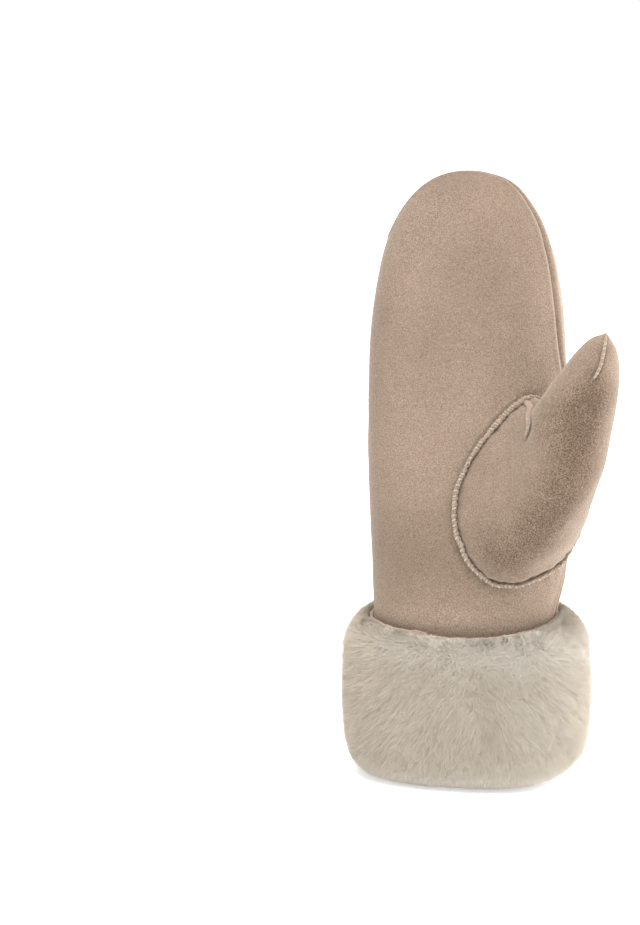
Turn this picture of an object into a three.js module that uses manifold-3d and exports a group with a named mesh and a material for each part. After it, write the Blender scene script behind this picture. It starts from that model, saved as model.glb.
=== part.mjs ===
// A right-hand suede mitten with a deep turned-up fur cuff, standing on the cuff, fingertips up.
// Millimetres, +Z up. The palm faces -Y and the thumb lies towards +X. The part stands on z = 0,
// centred on its own bounding box. The hand is one skin folded at the little-finger side and sewn
// shut along the thumb side and over the tip. The thumb is a second skin, whip-stitched into it.
import * as THREE from "three";
import { mergeVertices } from "three/addons/utils/BufferGeometryUtils.js";
import Module from "manifold-3d";

// Driving dimensions.
const LENGTH = 310; // floor to fingertip
const SKIN = 3; // wall of hand and thumb, suede with its clipped wool
const GAP = 0.35; // left between neighbouring pieces
const AXIS_X = -7.6; // where the hand's axis stands, off the middle of the part's bounding box
const AXIS_Y = 3.4;
const SQUARENESS = 2.35; // exponent of the hand's rounded section; 2 is an ellipse
const HAND_COLUMNS = 36;
const THUMB_COLUMNS = 24;

const CUFF_COLUMNS = 36;
const CUFF_SIDE_TOP = 86.5; // height of the cuff's cut edge at the sides
const CUFF_TILT = 6.5; // how much lower that edge is at the palm, and higher at the back
const BAND_FOOT = 12; // lower end of the leather band inside the cuff
const BAND_THICK = 2;
const BAND_PROUD = 1.2; // how far the band's cut edge stands out of the wool
const MOUTH = 9; // lower end of the hand skin, above the floor

const LOCK_COURSES = 5;
const LOCKS_PER_COURSE = 16;
const LOCK_LENGTH = 23;
const LOCK_HALF_WIDTH = 7.6;
const LOCK_STAND = 2.6; // how far a lock's tip lifts off the wool

const SEAM_RADIUS = 1.5; // the raised whip-stitched seams
const GROOVE_WIDTH = 2.6; // the sunk closing seam of the hand
const GROOVE_DEPTH = 1.5;

const DISC_RADIUS = 5.1;
const DISC_THICK = 1.8;
const DISC_TURN = 143; // degrees round the cuff from the thumb side, over the back
const DISC_HEIGHT = 69;

// Sections of the hand, mouth to tip: height, then half-widths towards the little finger and the
// thumb, and half-depths towards the palm and the back.
const HAND = [
  { z: MOUTH, little: 45.2, thumb: 44.6, palm: 26, back: 27 },
  { z: 48, little: 45.8, thumb: 45, palm: 26.5, back: 27 },
  { z: 90, little: 46.8, thumb: 46, palm: 26.8, back: 27 },
  { z: 106, little: 47.6, thumb: 48.2, palm: 26.8, back: 27 },
  { z: 120, little: 48.3, thumb: 52, palm: 26.6, back: 27 },
  { z: 134, little: 49, thumb: 57, palm: 26.4, back: 27 },
  { z: 150, little: 49.6, thumb: 60.2, palm: 26, back: 27 },
  { z: 166, little: 50, thumb: 58.4, palm: 25.6, back: 26.5 },
  { z: 184, little: 50.2, thumb: 53.2, palm: 25, back: 26 },
  { z: 204, little: 50.2, thumb: 50.2, palm: 24.2, back: 25.2 },
  { z: 228, little: 49.2, thumb: 48.9, palm: 23, back: 24 },
  { z: 250, little: 46.7, thumb: 46.4, palm: 21.4, back: 22.2 },
  { z: 270, little: 42.6, thumb: 42.3, palm: 18.9, back: 19.6 },
  { z: 285, little: 36.4, thumb: 37, palm: 16, back: 16.4 },
  { z: 297, little: 28.4, thumb: 29, palm: 12.4, back: 12.6 },
  { z: 305, little: 19, thumb: 19.8, palm: 8.4, back: 8.4 },
  { z: 308.7, little: 9.2, thumb: 9.4, palm: 4, back: 4 },
  { z: LENGTH, little: 0, thumb: 0, palm: 0, back: 0 },
];

// The thumb's seam round its base. Angle is the place round the thumb (0 crotch, 90 palm,
// 180 heel, 270 back), turn is the place round the hand (0 thumb side, -90 mid palm), and rise
// is how steeply the thumb leaves the hand, all in degrees.
const THUMB_BASE = [
  { angle: 0, turn: -46, z: 200, rise: 88 },
  { angle: 22, turn: -59, z: 197, rise: 64 },
  { angle: 45, turn: -74, z: 186, rise: 42 },
  { angle: 68, turn: -86, z: 170, rise: 32 },
  { angle: 90, turn: -91, z: 149, rise: 30 },
  { angle: 112, turn: -90.5, z: 133, rise: 36 },
  { angle: 132, turn: -86, z: 118.5, rise: 48 },
  { angle: 150, turn: -75, z: 108.5, rise: 56 },
  { angle: 170, turn: -59, z: 106, rise: 56 },
  { angle: 190, turn: -38, z: 110, rise: 48 },
  { angle: 212, turn: -13, z: 118, rise: 32 },
  { angle: 240, turn: 3, z: 134, rise: 24 },
  { angle: 270, turn: 6, z: 154, rise: 34 },
  { angle: 305, turn: -2, z: 176, rise: 66 },
  { angle: 335, turn: -24, z: 191, rise: 94 },
];

// Free sections of the thumb, crotch to tip: centre, half-width towards the fingers, half-depth.
const THUMB = [
  { x: 55.7, y: -35.5, z: 186.5, wide: 20.8, deep: 17 },
  { x: 60.6, y: -37, z: 198.5, wide: 18, deep: 16 },
  { x: 65.4, y: -38, z: 210.5, wide: 15, deep: 13.6 },
  { x: 69, y: -38.5, z: 221.5, wide: 11.4, deep: 10.8 },
  { x: 71.6, y: -38.8, z: 230, wide: 6.8, deep: 6.6 },
  { x: 73.4, y: -39, z: 235.4, wide: 0, deep: 0 },
];
const THUMB_LEAN_FROM = new THREE.Vector3(-0.8, 0, 1); // with the axis, gives the crotch side

// The sunk closing seam of the hand: place round the hand and height, wrist to tip.
const CLOSING_SEAM = [
  { turn: -7, z: 78 },
  { turn: -5, z: 94 },
  { turn: 0, z: 108 },
  { turn: 10, z: 120 },
  { turn: 18, z: 134 },
  { turn: 21, z: 152 },
  { turn: 12, z: 176 },
  { turn: -4, z: 198 },
  { turn: -16, z: 222 },
  { turn: -19, z: 248 },
  { turn: -18, z: 272 },
  { turn: -14, z: 290 },
  { turn: -8, z: 302 },
];
const CREST_END = 39; // the seam runs over the tip this far towards the little finger

// The thumb's own seam runs up its back, over the tip and a little down its front, and a short
// dart leaves the base seam: place round the thumb and share of the way from base to tip.
const THUMB_SEAM_BACK = [
  { angle: 296, along: 0.12 },
  { angle: 292, along: 0.3 },
  { angle: 290, along: 0.5 },
  { angle: 298, along: 0.63 },
  { angle: 300, along: 0.76 },
  { angle: 297, along: 0.88 },
  { angle: 294, along: 0.95 },
];
const THUMB_SEAM_FRONT = [
  { angle: 100, along: 0.95 },
  { angle: 104, along: 0.88 },
  { angle: 104, along: 0.79 },
  { angle: 96, along: 0.71 },
];
const THUMB_DART = [
  { angle: 14, along: 0.09 },
  { angle: 6, along: 0.2 },
  { angle: 8, along: 0.34 },
  { angle: 20, along: 0.44 },
  { angle: 34, along: 0.43 },
  { angle: 48, along: 0.33 },
];

// Wool of the cuff, round from under the band's top, out and down to the flat foot and a little
// way up inside the mouth: share of the cuff's height, distance out from the hand's surface, how
// much higher it stands at the two sides than at palm and back, and how much further out it
// stands at the thumb side.
const WOOL_OUTSIDE = [
  { share: 0.985, out: 3.2, side: -0.6, thumb: 0 },
  { share: 1.0, out: 5.6, side: -0.8, thumb: 0.4 },
  { share: 0.98, out: 9.2, side: -1.2, thumb: 1 },
  { share: 0.92, out: 12.7, side: -1.2, thumb: 2 },
  { share: 0.83, out: 14.9, side: -0.8, thumb: 2.6 },
  { share: 0.63, out: 16.4, side: 0, thumb: 3.1 },
  { share: 0.42, out: 16.6, side: 0, thumb: 3.2 },
  { share: 0.25, out: 15.9, side: 0, thumb: 2.9 },
  { share: 0.155, out: 14.3, side: 0, thumb: 1.6 },
  { share: 0.085, out: 11.5, side: 0, thumb: -0.6 },
  { share: 0.035, out: 7.6, side: 0, thumb: -3.2 },
  { share: 0.01, out: 4.2, side: 0, thumb: -4.4 },
  { share: 0, out: 2.4, side: 0, thumb: -4.4 },
];
const WOOL_INSIDE = [
  { z: 0, out: -4.5 },
  { z: 3, out: -6.4 },
  { z: 9, out: -9 },
  { z: 18, out: -9.6 },
  { z: 26, out: -7.6 },
  { z: 29, out: -4.4 },
];
const WOOL_CORE = [
  { z: 28, out: -3 - GAP },
  { z: MOUTH - GAP - 0.3, out: -3 - GAP },
];

const SUEDE = { color: 0xb9a18a, roughness: 0.95, metalness: 0 };
const RAW_EDGE = { color: 0xc9b29c, roughness: 0.9, metalness: 0 };
const STITCHED = { color: 0xcdbda6, roughness: 0.9, metalness: 0 };
const WOOL = { color: 0xd9d2c4, roughness: 1, metalness: 0 };
const METAL = { color: 0xc6c3bd, roughness: 0.35, metalness: 0.9 };

const wasm = await Module();
wasm.setup();

const rad = THREE.MathUtils.degToRad;
const signedPower = (v, p) => Math.sign(v) * Math.abs(v) ** p;

// A smooth value of one column between rows, at a row number with a fraction.
function blend(rows, column, at) {
  const i = Math.min(Math.max(Math.floor(at), 0), rows.length - 2);
  const t = at - i;
  const value = (k) => rows[Math.min(Math.max(k, 0), rows.length - 1)][column];
  const [a, b, c, d] = [value(i - 1), value(i), value(i + 1), value(i + 2)];
  const slope0 = (c - a) / 2;
  const slope1 = (d - b) / 2;
  const [t2, t3] = [t * t, t * t * t];
  return (
    (2 * t3 - 3 * t2 + 1) * b +
    (t3 - 2 * t2 + t) * slope0 +
    (3 * t2 - 2 * t3) * c +
    (t3 - t2) * slope1
  );
}

// The row number at which a rising column reaches a value.
function rowAt(rows, column, value) {
  let [low, high] = [0, rows.length - 1];
  for (let k = 0; k < 40; k++) {
    const middle = (low + high) / 2;
    if (blend(rows, column, middle) < value) low = middle;
    else high = middle;
  }
  return (low + high) / 2;
}

// A point of the hand's section at a row number, moved out from the surface by a distance.
function handAtRow(turn, row, out = 0) {
  const [c, s] = [Math.cos(turn), Math.sin(turn)];
  const wide = Math.max(blend(HAND, c < 0 ? "little" : "thumb", row) + out, 0);
  const deep = Math.max(blend(HAND, s < 0 ? "palm" : "back", row) + out, 0);
  return new THREE.Vector3(
    wide * signedPower(c, 2 / SQUARENESS),
    deep * signedPower(s, 2 / SQUARENESS),
    blend(HAND, "z", row),
  );
}

// The same at a height. Below the mouth and beside the cuff the section stays that of the wrist.
function handPoint(turn, z, out = 0) {
  const p = handAtRow(turn, rowAt(HAND, "z", Math.max(z, MOUTH)), out);
  p.z = z;
  return p;
}

// The outward normal of the hand's surface.
function handNormal(turn, z) {
  const step = 0.02;
  const along = handPoint(turn + step, z).sub(handPoint(turn - step, z));
  const up = handPoint(turn, z + 0.5).sub(handPoint(turn, z - 0.5));
  return along.cross(up).normalize();
}

const ringOf = (count, point) =>
  Array.from({ length: count }, (_, i) => point((2 * Math.PI * i) / count));

// A closed mesh through rings of equal length. With two end points it is capped by fans, and
// without them the last ring joins the first.
function loft(rings, startPoint, endPoint) {
  const count = rings[0].length;
  const points = rings.flat();
  const faces = [];
  const quad = (r0, r1) => {
    for (let i = 0; i < count; i++) {
      const j = (i + 1) % count;
      const [a, b] = [r0 * count + i, r0 * count + j];
      const [c, d] = [r1 * count + j, r1 * count + i];
      faces.push(a, b, c, a, c, d);
    }
  };
  for (let r = 0; r + 1 < rings.length; r++) quad(r, r + 1);
  if (startPoint) {
    const [start, end] = [points.length, points.length + 1];
    points.push(startPoint, endPoint);
    const last = (rings.length - 1) * count;
    for (let i = 0; i < count; i++) {
      const j = (i + 1) % count;
      faces.push(start, j, i, end, last + i, last + j);
    }
  } else quad(rings.length - 1, 0);
  const geometry = new THREE.BufferGeometry().setFromPoints(points);
  geometry.setIndex(faces);
  return geometry;
}

// A geometry as a manifold-3d solid, turned the right way out.
function solid(geometry) {
  const bare = new THREE.BufferGeometry();
  bare.setAttribute("position", geometry.getAttribute("position").clone());
  if (geometry.index) bare.setIndex(geometry.index.clone());
  const merged = mergeVertices(bare, 1e-4);
  const triVerts = new Uint32Array(merged.index.array);
  const build = () =>
    new wasm.Manifold(
      new wasm.Mesh({
        numProp: 3,
        vertProperties: new Float32Array(merged.attributes.position.array),
        triVerts,
      }),
    );
  const made = build();
  if (made.volume() > 0) return made;
  for (let i = 0; i < triVerts.length; i += 3)
    [triVerts[i], triVerts[i + 1]] = [triVerts[i + 1], triVerts[i]];
  return build();
}

// A manifold-3d solid as a named three.js mesh.
function meshOf(name, made, material) {
  const raw = made.getMesh();
  const points = new Float32Array(raw.numVert * 3);
  for (let i = 0; i < raw.numVert; i++)
    points.set(raw.vertProperties.subarray(i * raw.numProp, i * raw.numProp + 3), i * 3);
  const geometry = new THREE.BufferGeometry();
  geometry.setAttribute("position", new THREE.BufferAttribute(points, 3));
  geometry.setIndex(new THREE.BufferAttribute(new Uint32Array(raw.triVerts), 1));
  geometry.computeVertexNormals();
  const mesh = new THREE.Mesh(geometry, new THREE.MeshStandardMaterial(material));
  mesh.name = name;
  return mesh;
}

// A frame on the thumb's base seam: the point on the hand, the way out of the hand, the way over
// the hand into the seam's ring, and the way in which the thumb leaves.
const baseRow = (angle) => {
  const degrees = ((THREE.MathUtils.radToDeg(angle) % 360) + 360) % 360;
  const looped = [
    ...THUMB_BASE.slice(-2).map((r) => ({ ...r, angle: r.angle - 360 })),
    ...THUMB_BASE,
    ...THUMB_BASE.slice(0, 3).map((r) => ({ ...r, angle: r.angle + 360 })),
  ];
  const at = rowAt(looped, "angle", degrees);
  return {
    turn: rad(blend(looped, "turn", at)),
    z: blend(looped, "z", at),
    rise: rad(blend(looped, "rise", at)),
  };
};
const basePoint = (angle) => {
  const row = baseRow(angle);
  return handPoint(row.turn, row.z);
};
const baseCentre = ringOf(THUMB_COLUMNS, basePoint)
  .reduce((sum, p) => sum.add(p), new THREE.Vector3())
  .divideScalar(THUMB_COLUMNS);

function baseFrame(angle) {
  const row = baseRow(angle);
  const point = handPoint(row.turn, row.z);
  const outward = handNormal(row.turn, row.z);
  const along = basePoint(angle + 0.03).sub(basePoint(angle - 0.03)).normalize();
  const inward = new THREE.Vector3().crossVectors(outward, along).normalize();
  if (inward.dot(baseCentre.clone().sub(point)) < 0) inward.negate();
  const leave = outward
    .clone()
    .multiplyScalar(Math.sin(row.rise))
    .addScaledVector(inward, Math.cos(row.rise));
  return { point, outward, inward, leave, along };
}

// The way straight through the hand's skin at the base seam, eased towards the ring's middle.
const HOLE_WAY = new THREE.Vector3(1, -1, 0).normalize();
const through = (frame) => frame.outward.clone().add(HOLE_WAY).normalize();

// The free thumb at a row number: centre, axis, and the ways to the crotch and to the palm.
function thumbFrame(row) {
  const at = (r) =>
    new THREE.Vector3(blend(THUMB, "x", r), blend(THUMB, "y", r), blend(THUMB, "z", r));
  const axis = at(row + 0.05).sub(at(row - 0.05)).normalize();
  const crotch = THUMB_LEAN_FROM.clone()
    .addScaledVector(axis, -THUMB_LEAN_FROM.dot(axis))
    .normalize();
  const palm = new THREE.Vector3().crossVectors(axis, crotch);
  return { centre: at(row), axis, crotch, palm };
}

function freeThumbPoint(angle, row, inset) {
  const { centre, axis, crotch, palm } = thumbFrame(Math.min(row, THUMB.length - 1.06));
  const wide = Math.max(blend(THUMB, "wide", row) - inset, 0);
  const deep = Math.max(blend(THUMB, "deep", row) - inset, 0);
  const end = thumbFrame(Math.min(row, THUMB.length - 1)).centre;
  return (row > THUMB.length - 1.06 ? end : centre)
    .clone()
    .addScaledVector(crotch, wide * Math.cos(angle))
    .addScaledVector(palm, deep * Math.sin(angle))
    .addScaledVector(axis, -inset * 0.4);
}

// The thumb's root as one curve from the base seam to the first free section.
function rootCurve(angle, inset) {
  const frame = baseFrame(angle);
  const end = freeThumbPoint(angle, 0, inset);
  const upright = 0.4 * (1 - Math.cos(angle));
  const axis = thumbFrame(0).axis.lerp(new THREE.Vector3(0, 0, 1), upright).normalize();
  const start = frame.point.clone().addScaledVector(frame.inward, GAP + inset);
  const reach = start.distanceTo(end);
  return new THREE.CubicBezierCurve3(
    start,
    start.clone().addScaledVector(frame.leave, reach * 0.36),
    end.clone().addScaledVector(axis, -Math.min(reach * 0.34, 30)),
    end,
  );
}

const ROOT_SHARE = 0.5; // of the way from base to tip, the part that is root
// A point of the thumb's surface, at a share of the way from the base seam to the tip.
function thumbPoint(angle, along, inset = 0) {
  if (along <= ROOT_SHARE) return rootCurve(angle, inset).getPoint(along / ROOT_SHARE);
  const row = ((along - ROOT_SHARE) / (1 - ROOT_SHARE)) * (THUMB.length - 1);
  return freeThumbPoint(angle, row, inset);
}

function thumbNormal(angle, along) {
  const [da, ds] = [0.04, 0.01];
  const round = thumbPoint(angle + da, along).sub(thumbPoint(angle - da, along));
  const up = thumbPoint(angle, along + ds).sub(thumbPoint(angle, Math.max(along - ds, 0)));
  const normal = round.cross(up).normalize();
  const frame = thumbFrame(0);
  const outwards = thumbPoint(angle, along).sub(frame.centre);
  return along > ROOT_SHARE && normal.dot(outwards) < 0 ? normal.negate() : normal;
}

// A raised seam: a tube through points, closed on itself or with pointed ends.
function seamTube(points, closed, radiusAt, segments, sides = 5) {
  const curve = new THREE.CatmullRomCurve3(points, closed, "centripetal");
  const frames = curve.computeFrenetFrames(segments, closed);
  const rings = [];
  const count = closed ? segments : segments + 1;
  for (let i = 0; i < count; i++) {
    const centre = curve.getPointAt(i / segments);
    const radius = radiusAt(i / segments);
    rings.push(
      ringOf(sides, (a) =>
        centre
          .clone()
          .addScaledVector(frames.normals[i], radius * Math.cos(a))
          .addScaledVector(frames.binormals[i], radius * Math.sin(a)),
      ),
    );
  }
  if (closed) return loft(rings);
  return loft(rings, curve.getPointAt(0), curve.getPointAt(1));
}

// The hand's skin: a hollow shell, open at the wrist, with the thumb's hole and the sunk seam.
function handShell() {
  const top = HAND.length - 1;
  const rowsUp = (count, last) =>
    Array.from({ length: count }, (_, i) => (last * i) / (count - 1));
  const outer = rowsUp(20, top - 0.16).map((row) =>
    ringOf(HAND_COLUMNS, (a) => handAtRow(a, row)),
  );
  const inner = rowsUp(9, top - 1).map((row) =>
    ringOf(HAND_COLUMNS, (a) => handAtRow(a, row, -SKIN)),
  );
  const innerTip = new THREE.Vector3(0, 0, LENGTH - SKIN * 1.6);
  const outerTip = new THREE.Vector3(0, 0, LENGTH);
  const shell = solid(loft([...inner.reverse(), ...outer], innerTip, outerTip));
  return shell.subtract(thumbHole()).subtract(closingGroove());
}

// The cutter for the thumb's hole: a plug through the base seam's ring.
function thumbHole() {
  const frames = ringOf(THUMB_COLUMNS * 2, baseFrame);
  const at = (depth) =>
    frames.map((f) => f.point.clone().addScaledVector(through(f), depth));
  const far = baseCentre.clone().addScaledVector(HOLE_WAY, 70);
  const near = baseCentre.clone().addScaledVector(HOLE_WAY, -12);
  return solid(loft([at(-SKIN * 2.2), at(0), at(12)], near, far));
}

// Points of the closing seam on the hand's surface, up the thumb side and over the tip.
function closingSeamPath() {
  const side = CLOSING_SEAM.map(({ turn, z }) => ({
    point: handPoint(rad(turn), z),
    normal: handNormal(rad(turn), z),
  }));
  const crest = [11, 0, -12, -24, -CREST_END].map((x) => {
    const turn = x > 0 ? 0 : Math.PI;
    const column = x > 0 ? "thumb" : "little";
    let [low, high] = [HAND.length - 8, HAND.length - 1];
    for (let k = 0; k < 40; k++) {
      const middle = (low + high) / 2;
      if (blend(HAND, column, middle) > Math.abs(x)) low = middle;
      else high = middle;
    }
    const point = handAtRow(turn, low);
    const normal = x
      ? handNormal(turn, Math.min(point.z, LENGTH - 0.7))
      : new THREE.Vector3(0, 0, 1);
    return { point, normal };
  });
  return [...side, ...crest];
}

// The cutter for the sunk seam: a wedge whose edge points into the skin.
function closingGroove() {
  const path = closingSeamPath();
  const points = new THREE.CatmullRomCurve3(path.map((p) => p.point), false, "centripetal");
  const normals = new THREE.CatmullRomCurve3(path.map((p) => p.normal), false, "centripetal");
  const segments = 40;
  const rings = [];
  for (let i = 0; i <= segments; i++) {
    const t = (i / segments) * 1;
    const centre = points.getPoint(t);
    const out = normals.getPoint(t).normalize();
    const side = points.getTangent(t).cross(out).normalize();
    const fade = Math.min(1, (segments - i + 1) / 6);
    const half = (GROOVE_WIDTH / 2) * fade;
    rings.push([
      centre.clone().addScaledVector(out, -GROOVE_DEPTH * fade),
      centre.clone().addScaledVector(out, 1.2).addScaledVector(side, half * 1.8),
      centre.clone().addScaledVector(out, 1.2).addScaledVector(side, -half * 1.8),
    ]);
  }
  const middle = (ring) =>
    ring.reduce((s, p) => s.add(p), new THREE.Vector3()).divideScalar(ring.length);
  return solid(loft(rings, middle(rings[0]), middle(rings[segments])));
}

// The thumb's skin: a bent hollow horn whose root plugs the hole in the hand.
function thumbShell() {
  const plug = (inset) =>
    ringOf(THUMB_COLUMNS, (a) => {
      const f = baseFrame(a);
      return f.point
        .clone()
        .addScaledVector(f.inward, GAP + inset)
        .addScaledVector(through(f), -SKIN);
    });
  const rows = (inset, last, half) => {
    const shares = [];
    for (let i = 0; i < half; i++) shares.push((ROOT_SHARE * i) / half);
    for (let i = 0; i <= half; i++)
      shares.push(ROOT_SHARE + ((last - ROOT_SHARE) * i) / half);
    return shares.map((s) => ringOf(THUMB_COLUMNS, (a) => thumbPoint(a, s, inset)));
  };
  const outer = [plug(0), ...rows(0, 0.985, 7)];
  const inner = [plug(SKIN), ...rows(SKIN, 0.86, 4)];
  const innerTip = thumbFrame((0.9 - ROOT_SHARE) * 2 * (THUMB.length - 1)).centre;
  const outerTip = thumbFrame(THUMB.length - 1).centre;
  return solid(loft([...inner.reverse(), ...outer], innerTip, outerTip));
}

// The raised seam round the thumb's base, in the corner between hand and thumb.
function thumbBaseSeam() {
  const points = ringOf(48, (a) => {
    const f = baseFrame(a);
    const away = f.inward.clone().negate();
    const corner = away.angleTo(f.leave);
    const reach = (SEAM_RADIUS + GAP + 0.1) / Math.sin(corner / 2);
    return f.point
      .clone()
      .addScaledVector(away.add(f.leave).normalize(), reach)
      .addScaledVector(f.inward, GAP / 2);
  });
  return solid(seamTube(points, true, () => SEAM_RADIUS, 52));
}

const onThumb = ({ angle, along }, lift) =>
  thumbPoint(rad(angle), along).addScaledVector(thumbNormal(rad(angle), along), lift);

// The thumb's own seam, up the back, over the tip and down the front.
function thumbSideSeam() {
  const lift = SEAM_RADIUS * 0.8 + GAP + 0.35;
  const tip = thumbFrame(THUMB.length - 1);
  const over = tip.centre.clone().addScaledVector(tip.axis, lift + 0.2);
  const points = [
    ...THUMB_SEAM_BACK.map((p) => onThumb(p, lift)),
    over,
    ...THUMB_SEAM_FRONT.map((p) => onThumb(p, lift)),
  ];
  const taper = (t) => SEAM_RADIUS * 0.8 * Math.min(1, 0.35 + (1 - t) * 6);
  return solid(seamTube(points, false, taper, 26));
}

// The short dart in the thumb's root, on the palm side.
function thumbDartSeam() {
  const radius = SEAM_RADIUS * 0.8;
  const points = THUMB_DART.map((p) => onThumb(p, radius + GAP + 0.1));
  return solid(seamTube(points, false, (t) => radius * (1 - 0.65 * t), 10));
}

// Height of the cuff's cut edge at a place round the hand: a dip over the palm, a crest at the back.
const cuffTop = (turn) => {
  const s = Math.sin(turn);
  return CUFF_SIDE_TOP + CUFF_TILT * (s > 0 ? s ** 3 : s);
};
const woolHeight = (turn, { share, side }) => cuffTop(turn) * share + side * Math.cos(turn) ** 4;
const woolOut = (turn, { out, thumb }) => out + thumb * Math.max(Math.cos(turn), 0) ** 3;

// The leather of the turned-up cuff. Its cut top edge shows between hand and wool.
function cuffBand() {
  const ring = (out, height) =>
    ringOf(CUFF_COLUMNS, (a) => handPoint(a, height(a), out));
  const foot = () => BAND_FOOT;
  const top = (a) => cuffTop(a) + BAND_PROUD;
  return solid(
    loft([
      ring(GAP, foot),
      ring(GAP + BAND_THICK, foot),
      ring(GAP + BAND_THICK, (a) => cuffTop(a) * 0.6),
      ring(GAP + BAND_THICK, top),
      ring(GAP, top),
      ring(GAP, (a) => cuffTop(a) * 0.6),
    ]),
  );
}

// A repeatable scatter between -1 and 1.
const scatter = (a, b) => {
  const v = Math.sin(a * 12.9898 + b * 78.233) * 43758.5453;
  return 2 * (v - Math.floor(v)) - 1;
};

// A point of the wool's outer face at a share of the cuff's height.
function woolPoint(turn, share, lift = 0) {
  const rising = [...WOOL_OUTSIDE].reverse().slice(0, 11);
  const at = rowAt(rising, "share", Math.min(Math.max(share, 0), 0.98));
  const [side, out, thumb] = ["side", "out", "thumb"].map((column) => blend(rising, column, at));
  const row = { share, side, out, thumb };
  return handPoint(turn, woolHeight(turn, row), woolOut(turn, row) + lift);
}

// The deep wool: a thick turned-up wall on a flat foot, with courses of locks fused to it.
function furCuff() {
  const ring = (height, out) =>
    ringOf(CUFF_COLUMNS, (a) => handPoint(a, height(a), out));
  const outside = (row) =>
    ringOf(CUFF_COLUMNS, (a) => handPoint(a, woolHeight(a, row), woolOut(a, row)));
  const behindBand = GAP * 2 + BAND_THICK;
  const rings = [
    ...WOOL_OUTSIDE.map(outside),
    ...WOOL_INSIDE.map(({ z, out }) => ring(() => z, out)),
    ...WOOL_CORE.map(({ z, out }) => ring(() => z, out)),
    ring(() => MOUTH - GAP - 0.3, behindBand),
    ring((a) => cuffTop(a) * 0.5, behindBand),
  ];
  let fur = solid(loft(rings));
  const locks = [];
  for (let course = 0; course < LOCK_COURSES; course++)
    for (let k = 0; k < LOCKS_PER_COURSE; k++) locks.push(furLock(course, k));
  fur = fur.add(wasm.Manifold.union(locks));
  return fur.subtract(discSeat());
}

// One lock: a flat leaf that lies down the wool, leans away from the middle of the palm or back,
// and lifts its tip. The top course points up and out instead.
function furLock(course, k) {
  const up = course === LOCK_COURSES - 1;
  const turn =
    ((k + (course % 2) / 2 + 0.22 * scatter(course, k)) / LOCKS_PER_COURSE) * 2 * Math.PI;
  const root = 0.3 + (0.62 * course) / (LOCK_COURSES - 1);
  const length = (LOCK_LENGTH / CUFF_SIDE_TOP) * (1 + 0.25 * scatter(k, course));
  const drop = up ? -length * 0.28 : length;
  const lean = 0.1 * Math.cos(turn) * Math.sign(Math.sin(turn) || 1) * -1;
  const half = (LOCK_HALF_WIDTH / 52) * (1 + 0.2 * scatter(k + 7, course));
  const stand = LOCK_STAND * (1 + 0.3 * scatter(course + 3, k));
  const across = (share, at, width, lift) => [
    woolPoint(turn + lean * at - width, share, -0.6),
    woolPoint(turn + lean * at, share, lift),
    woolPoint(turn + lean * at + width, share, -0.6),
    woolPoint(turn + lean * at, share, -2.4),
  ];
  const middle = root - drop * 0.5;
  const end = Math.max(root - drop, 0.06);
  const rings = [
    across(root, 0, half * 0.8, 0.5),
    across(middle, 0.5, half, stand * 0.75),
    across((middle + end) / 2, 0.8, half * 0.62, stand),
  ];
  return solid(loft(rings, woolPoint(turn, root, -0.5), woolPoint(turn + lean, end, stand * 0.8)));
}

// Where the disc sits on the back of the cuff, and the way that it faces.
function discPlace() {
  const turn = rad(DISC_TURN);
  const face = handNormal(turn, DISC_HEIGHT);
  const share = DISC_HEIGHT / CUFF_SIDE_TOP;
  return { centre: woolPoint(turn, share, 1.2), face };
}

// A short cylinder whose axis points out of the cuff at the disc's place.
function discBlank(radius, back, front, bevel) {
  const profile = [
    new THREE.Vector2(0, back),
    new THREE.Vector2(radius, back),
    new THREE.Vector2(radius, front - bevel),
    new THREE.Vector2(radius - bevel, front),
    new THREE.Vector2(0, front),
  ];
  const geometry = new THREE.LatheGeometry(profile, 22);
  const { centre, face } = discPlace();
  const turned = new THREE.Quaternion().setFromUnitVectors(new THREE.Vector3(0, 1, 0), face);
  return geometry.applyQuaternion(turned).translate(centre.x, centre.y, centre.z);
}

const discSeat = () => solid(discBlank(DISC_RADIUS + GAP, -GAP, 12, 0.1));
const cuffDisc = () => solid(discBlank(DISC_RADIUS, 0, DISC_THICK, 0.5));

const mitten = new THREE.Group();
mitten.add(
  meshOf("hand_shell", handShell(), SUEDE),
  meshOf("thumb_shell", thumbShell(), SUEDE),
  meshOf("thumb_base_seam", thumbBaseSeam(), STITCHED),
  meshOf("thumb_side_seam", thumbSideSeam(), STITCHED),
  meshOf("thumb_dart_seam", thumbDartSeam(), STITCHED),
  meshOf("cuff_band", cuffBand(), RAW_EDGE),
  meshOf("fur_cuff", furCuff(), WOOL),
  meshOf("cuff_disc", cuffDisc(), METAL),
);

// Centre the part on its bounding box. It already stands on the floor.
mitten.position.set(AXIS_X, AXIS_Y, 0);

export default mitten;
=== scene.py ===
import math

import bpy
import numpy as np
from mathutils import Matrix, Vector, noise
from mathutils.bvhtree import BVHTree
from mathutils.kdtree import KDTree


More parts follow.
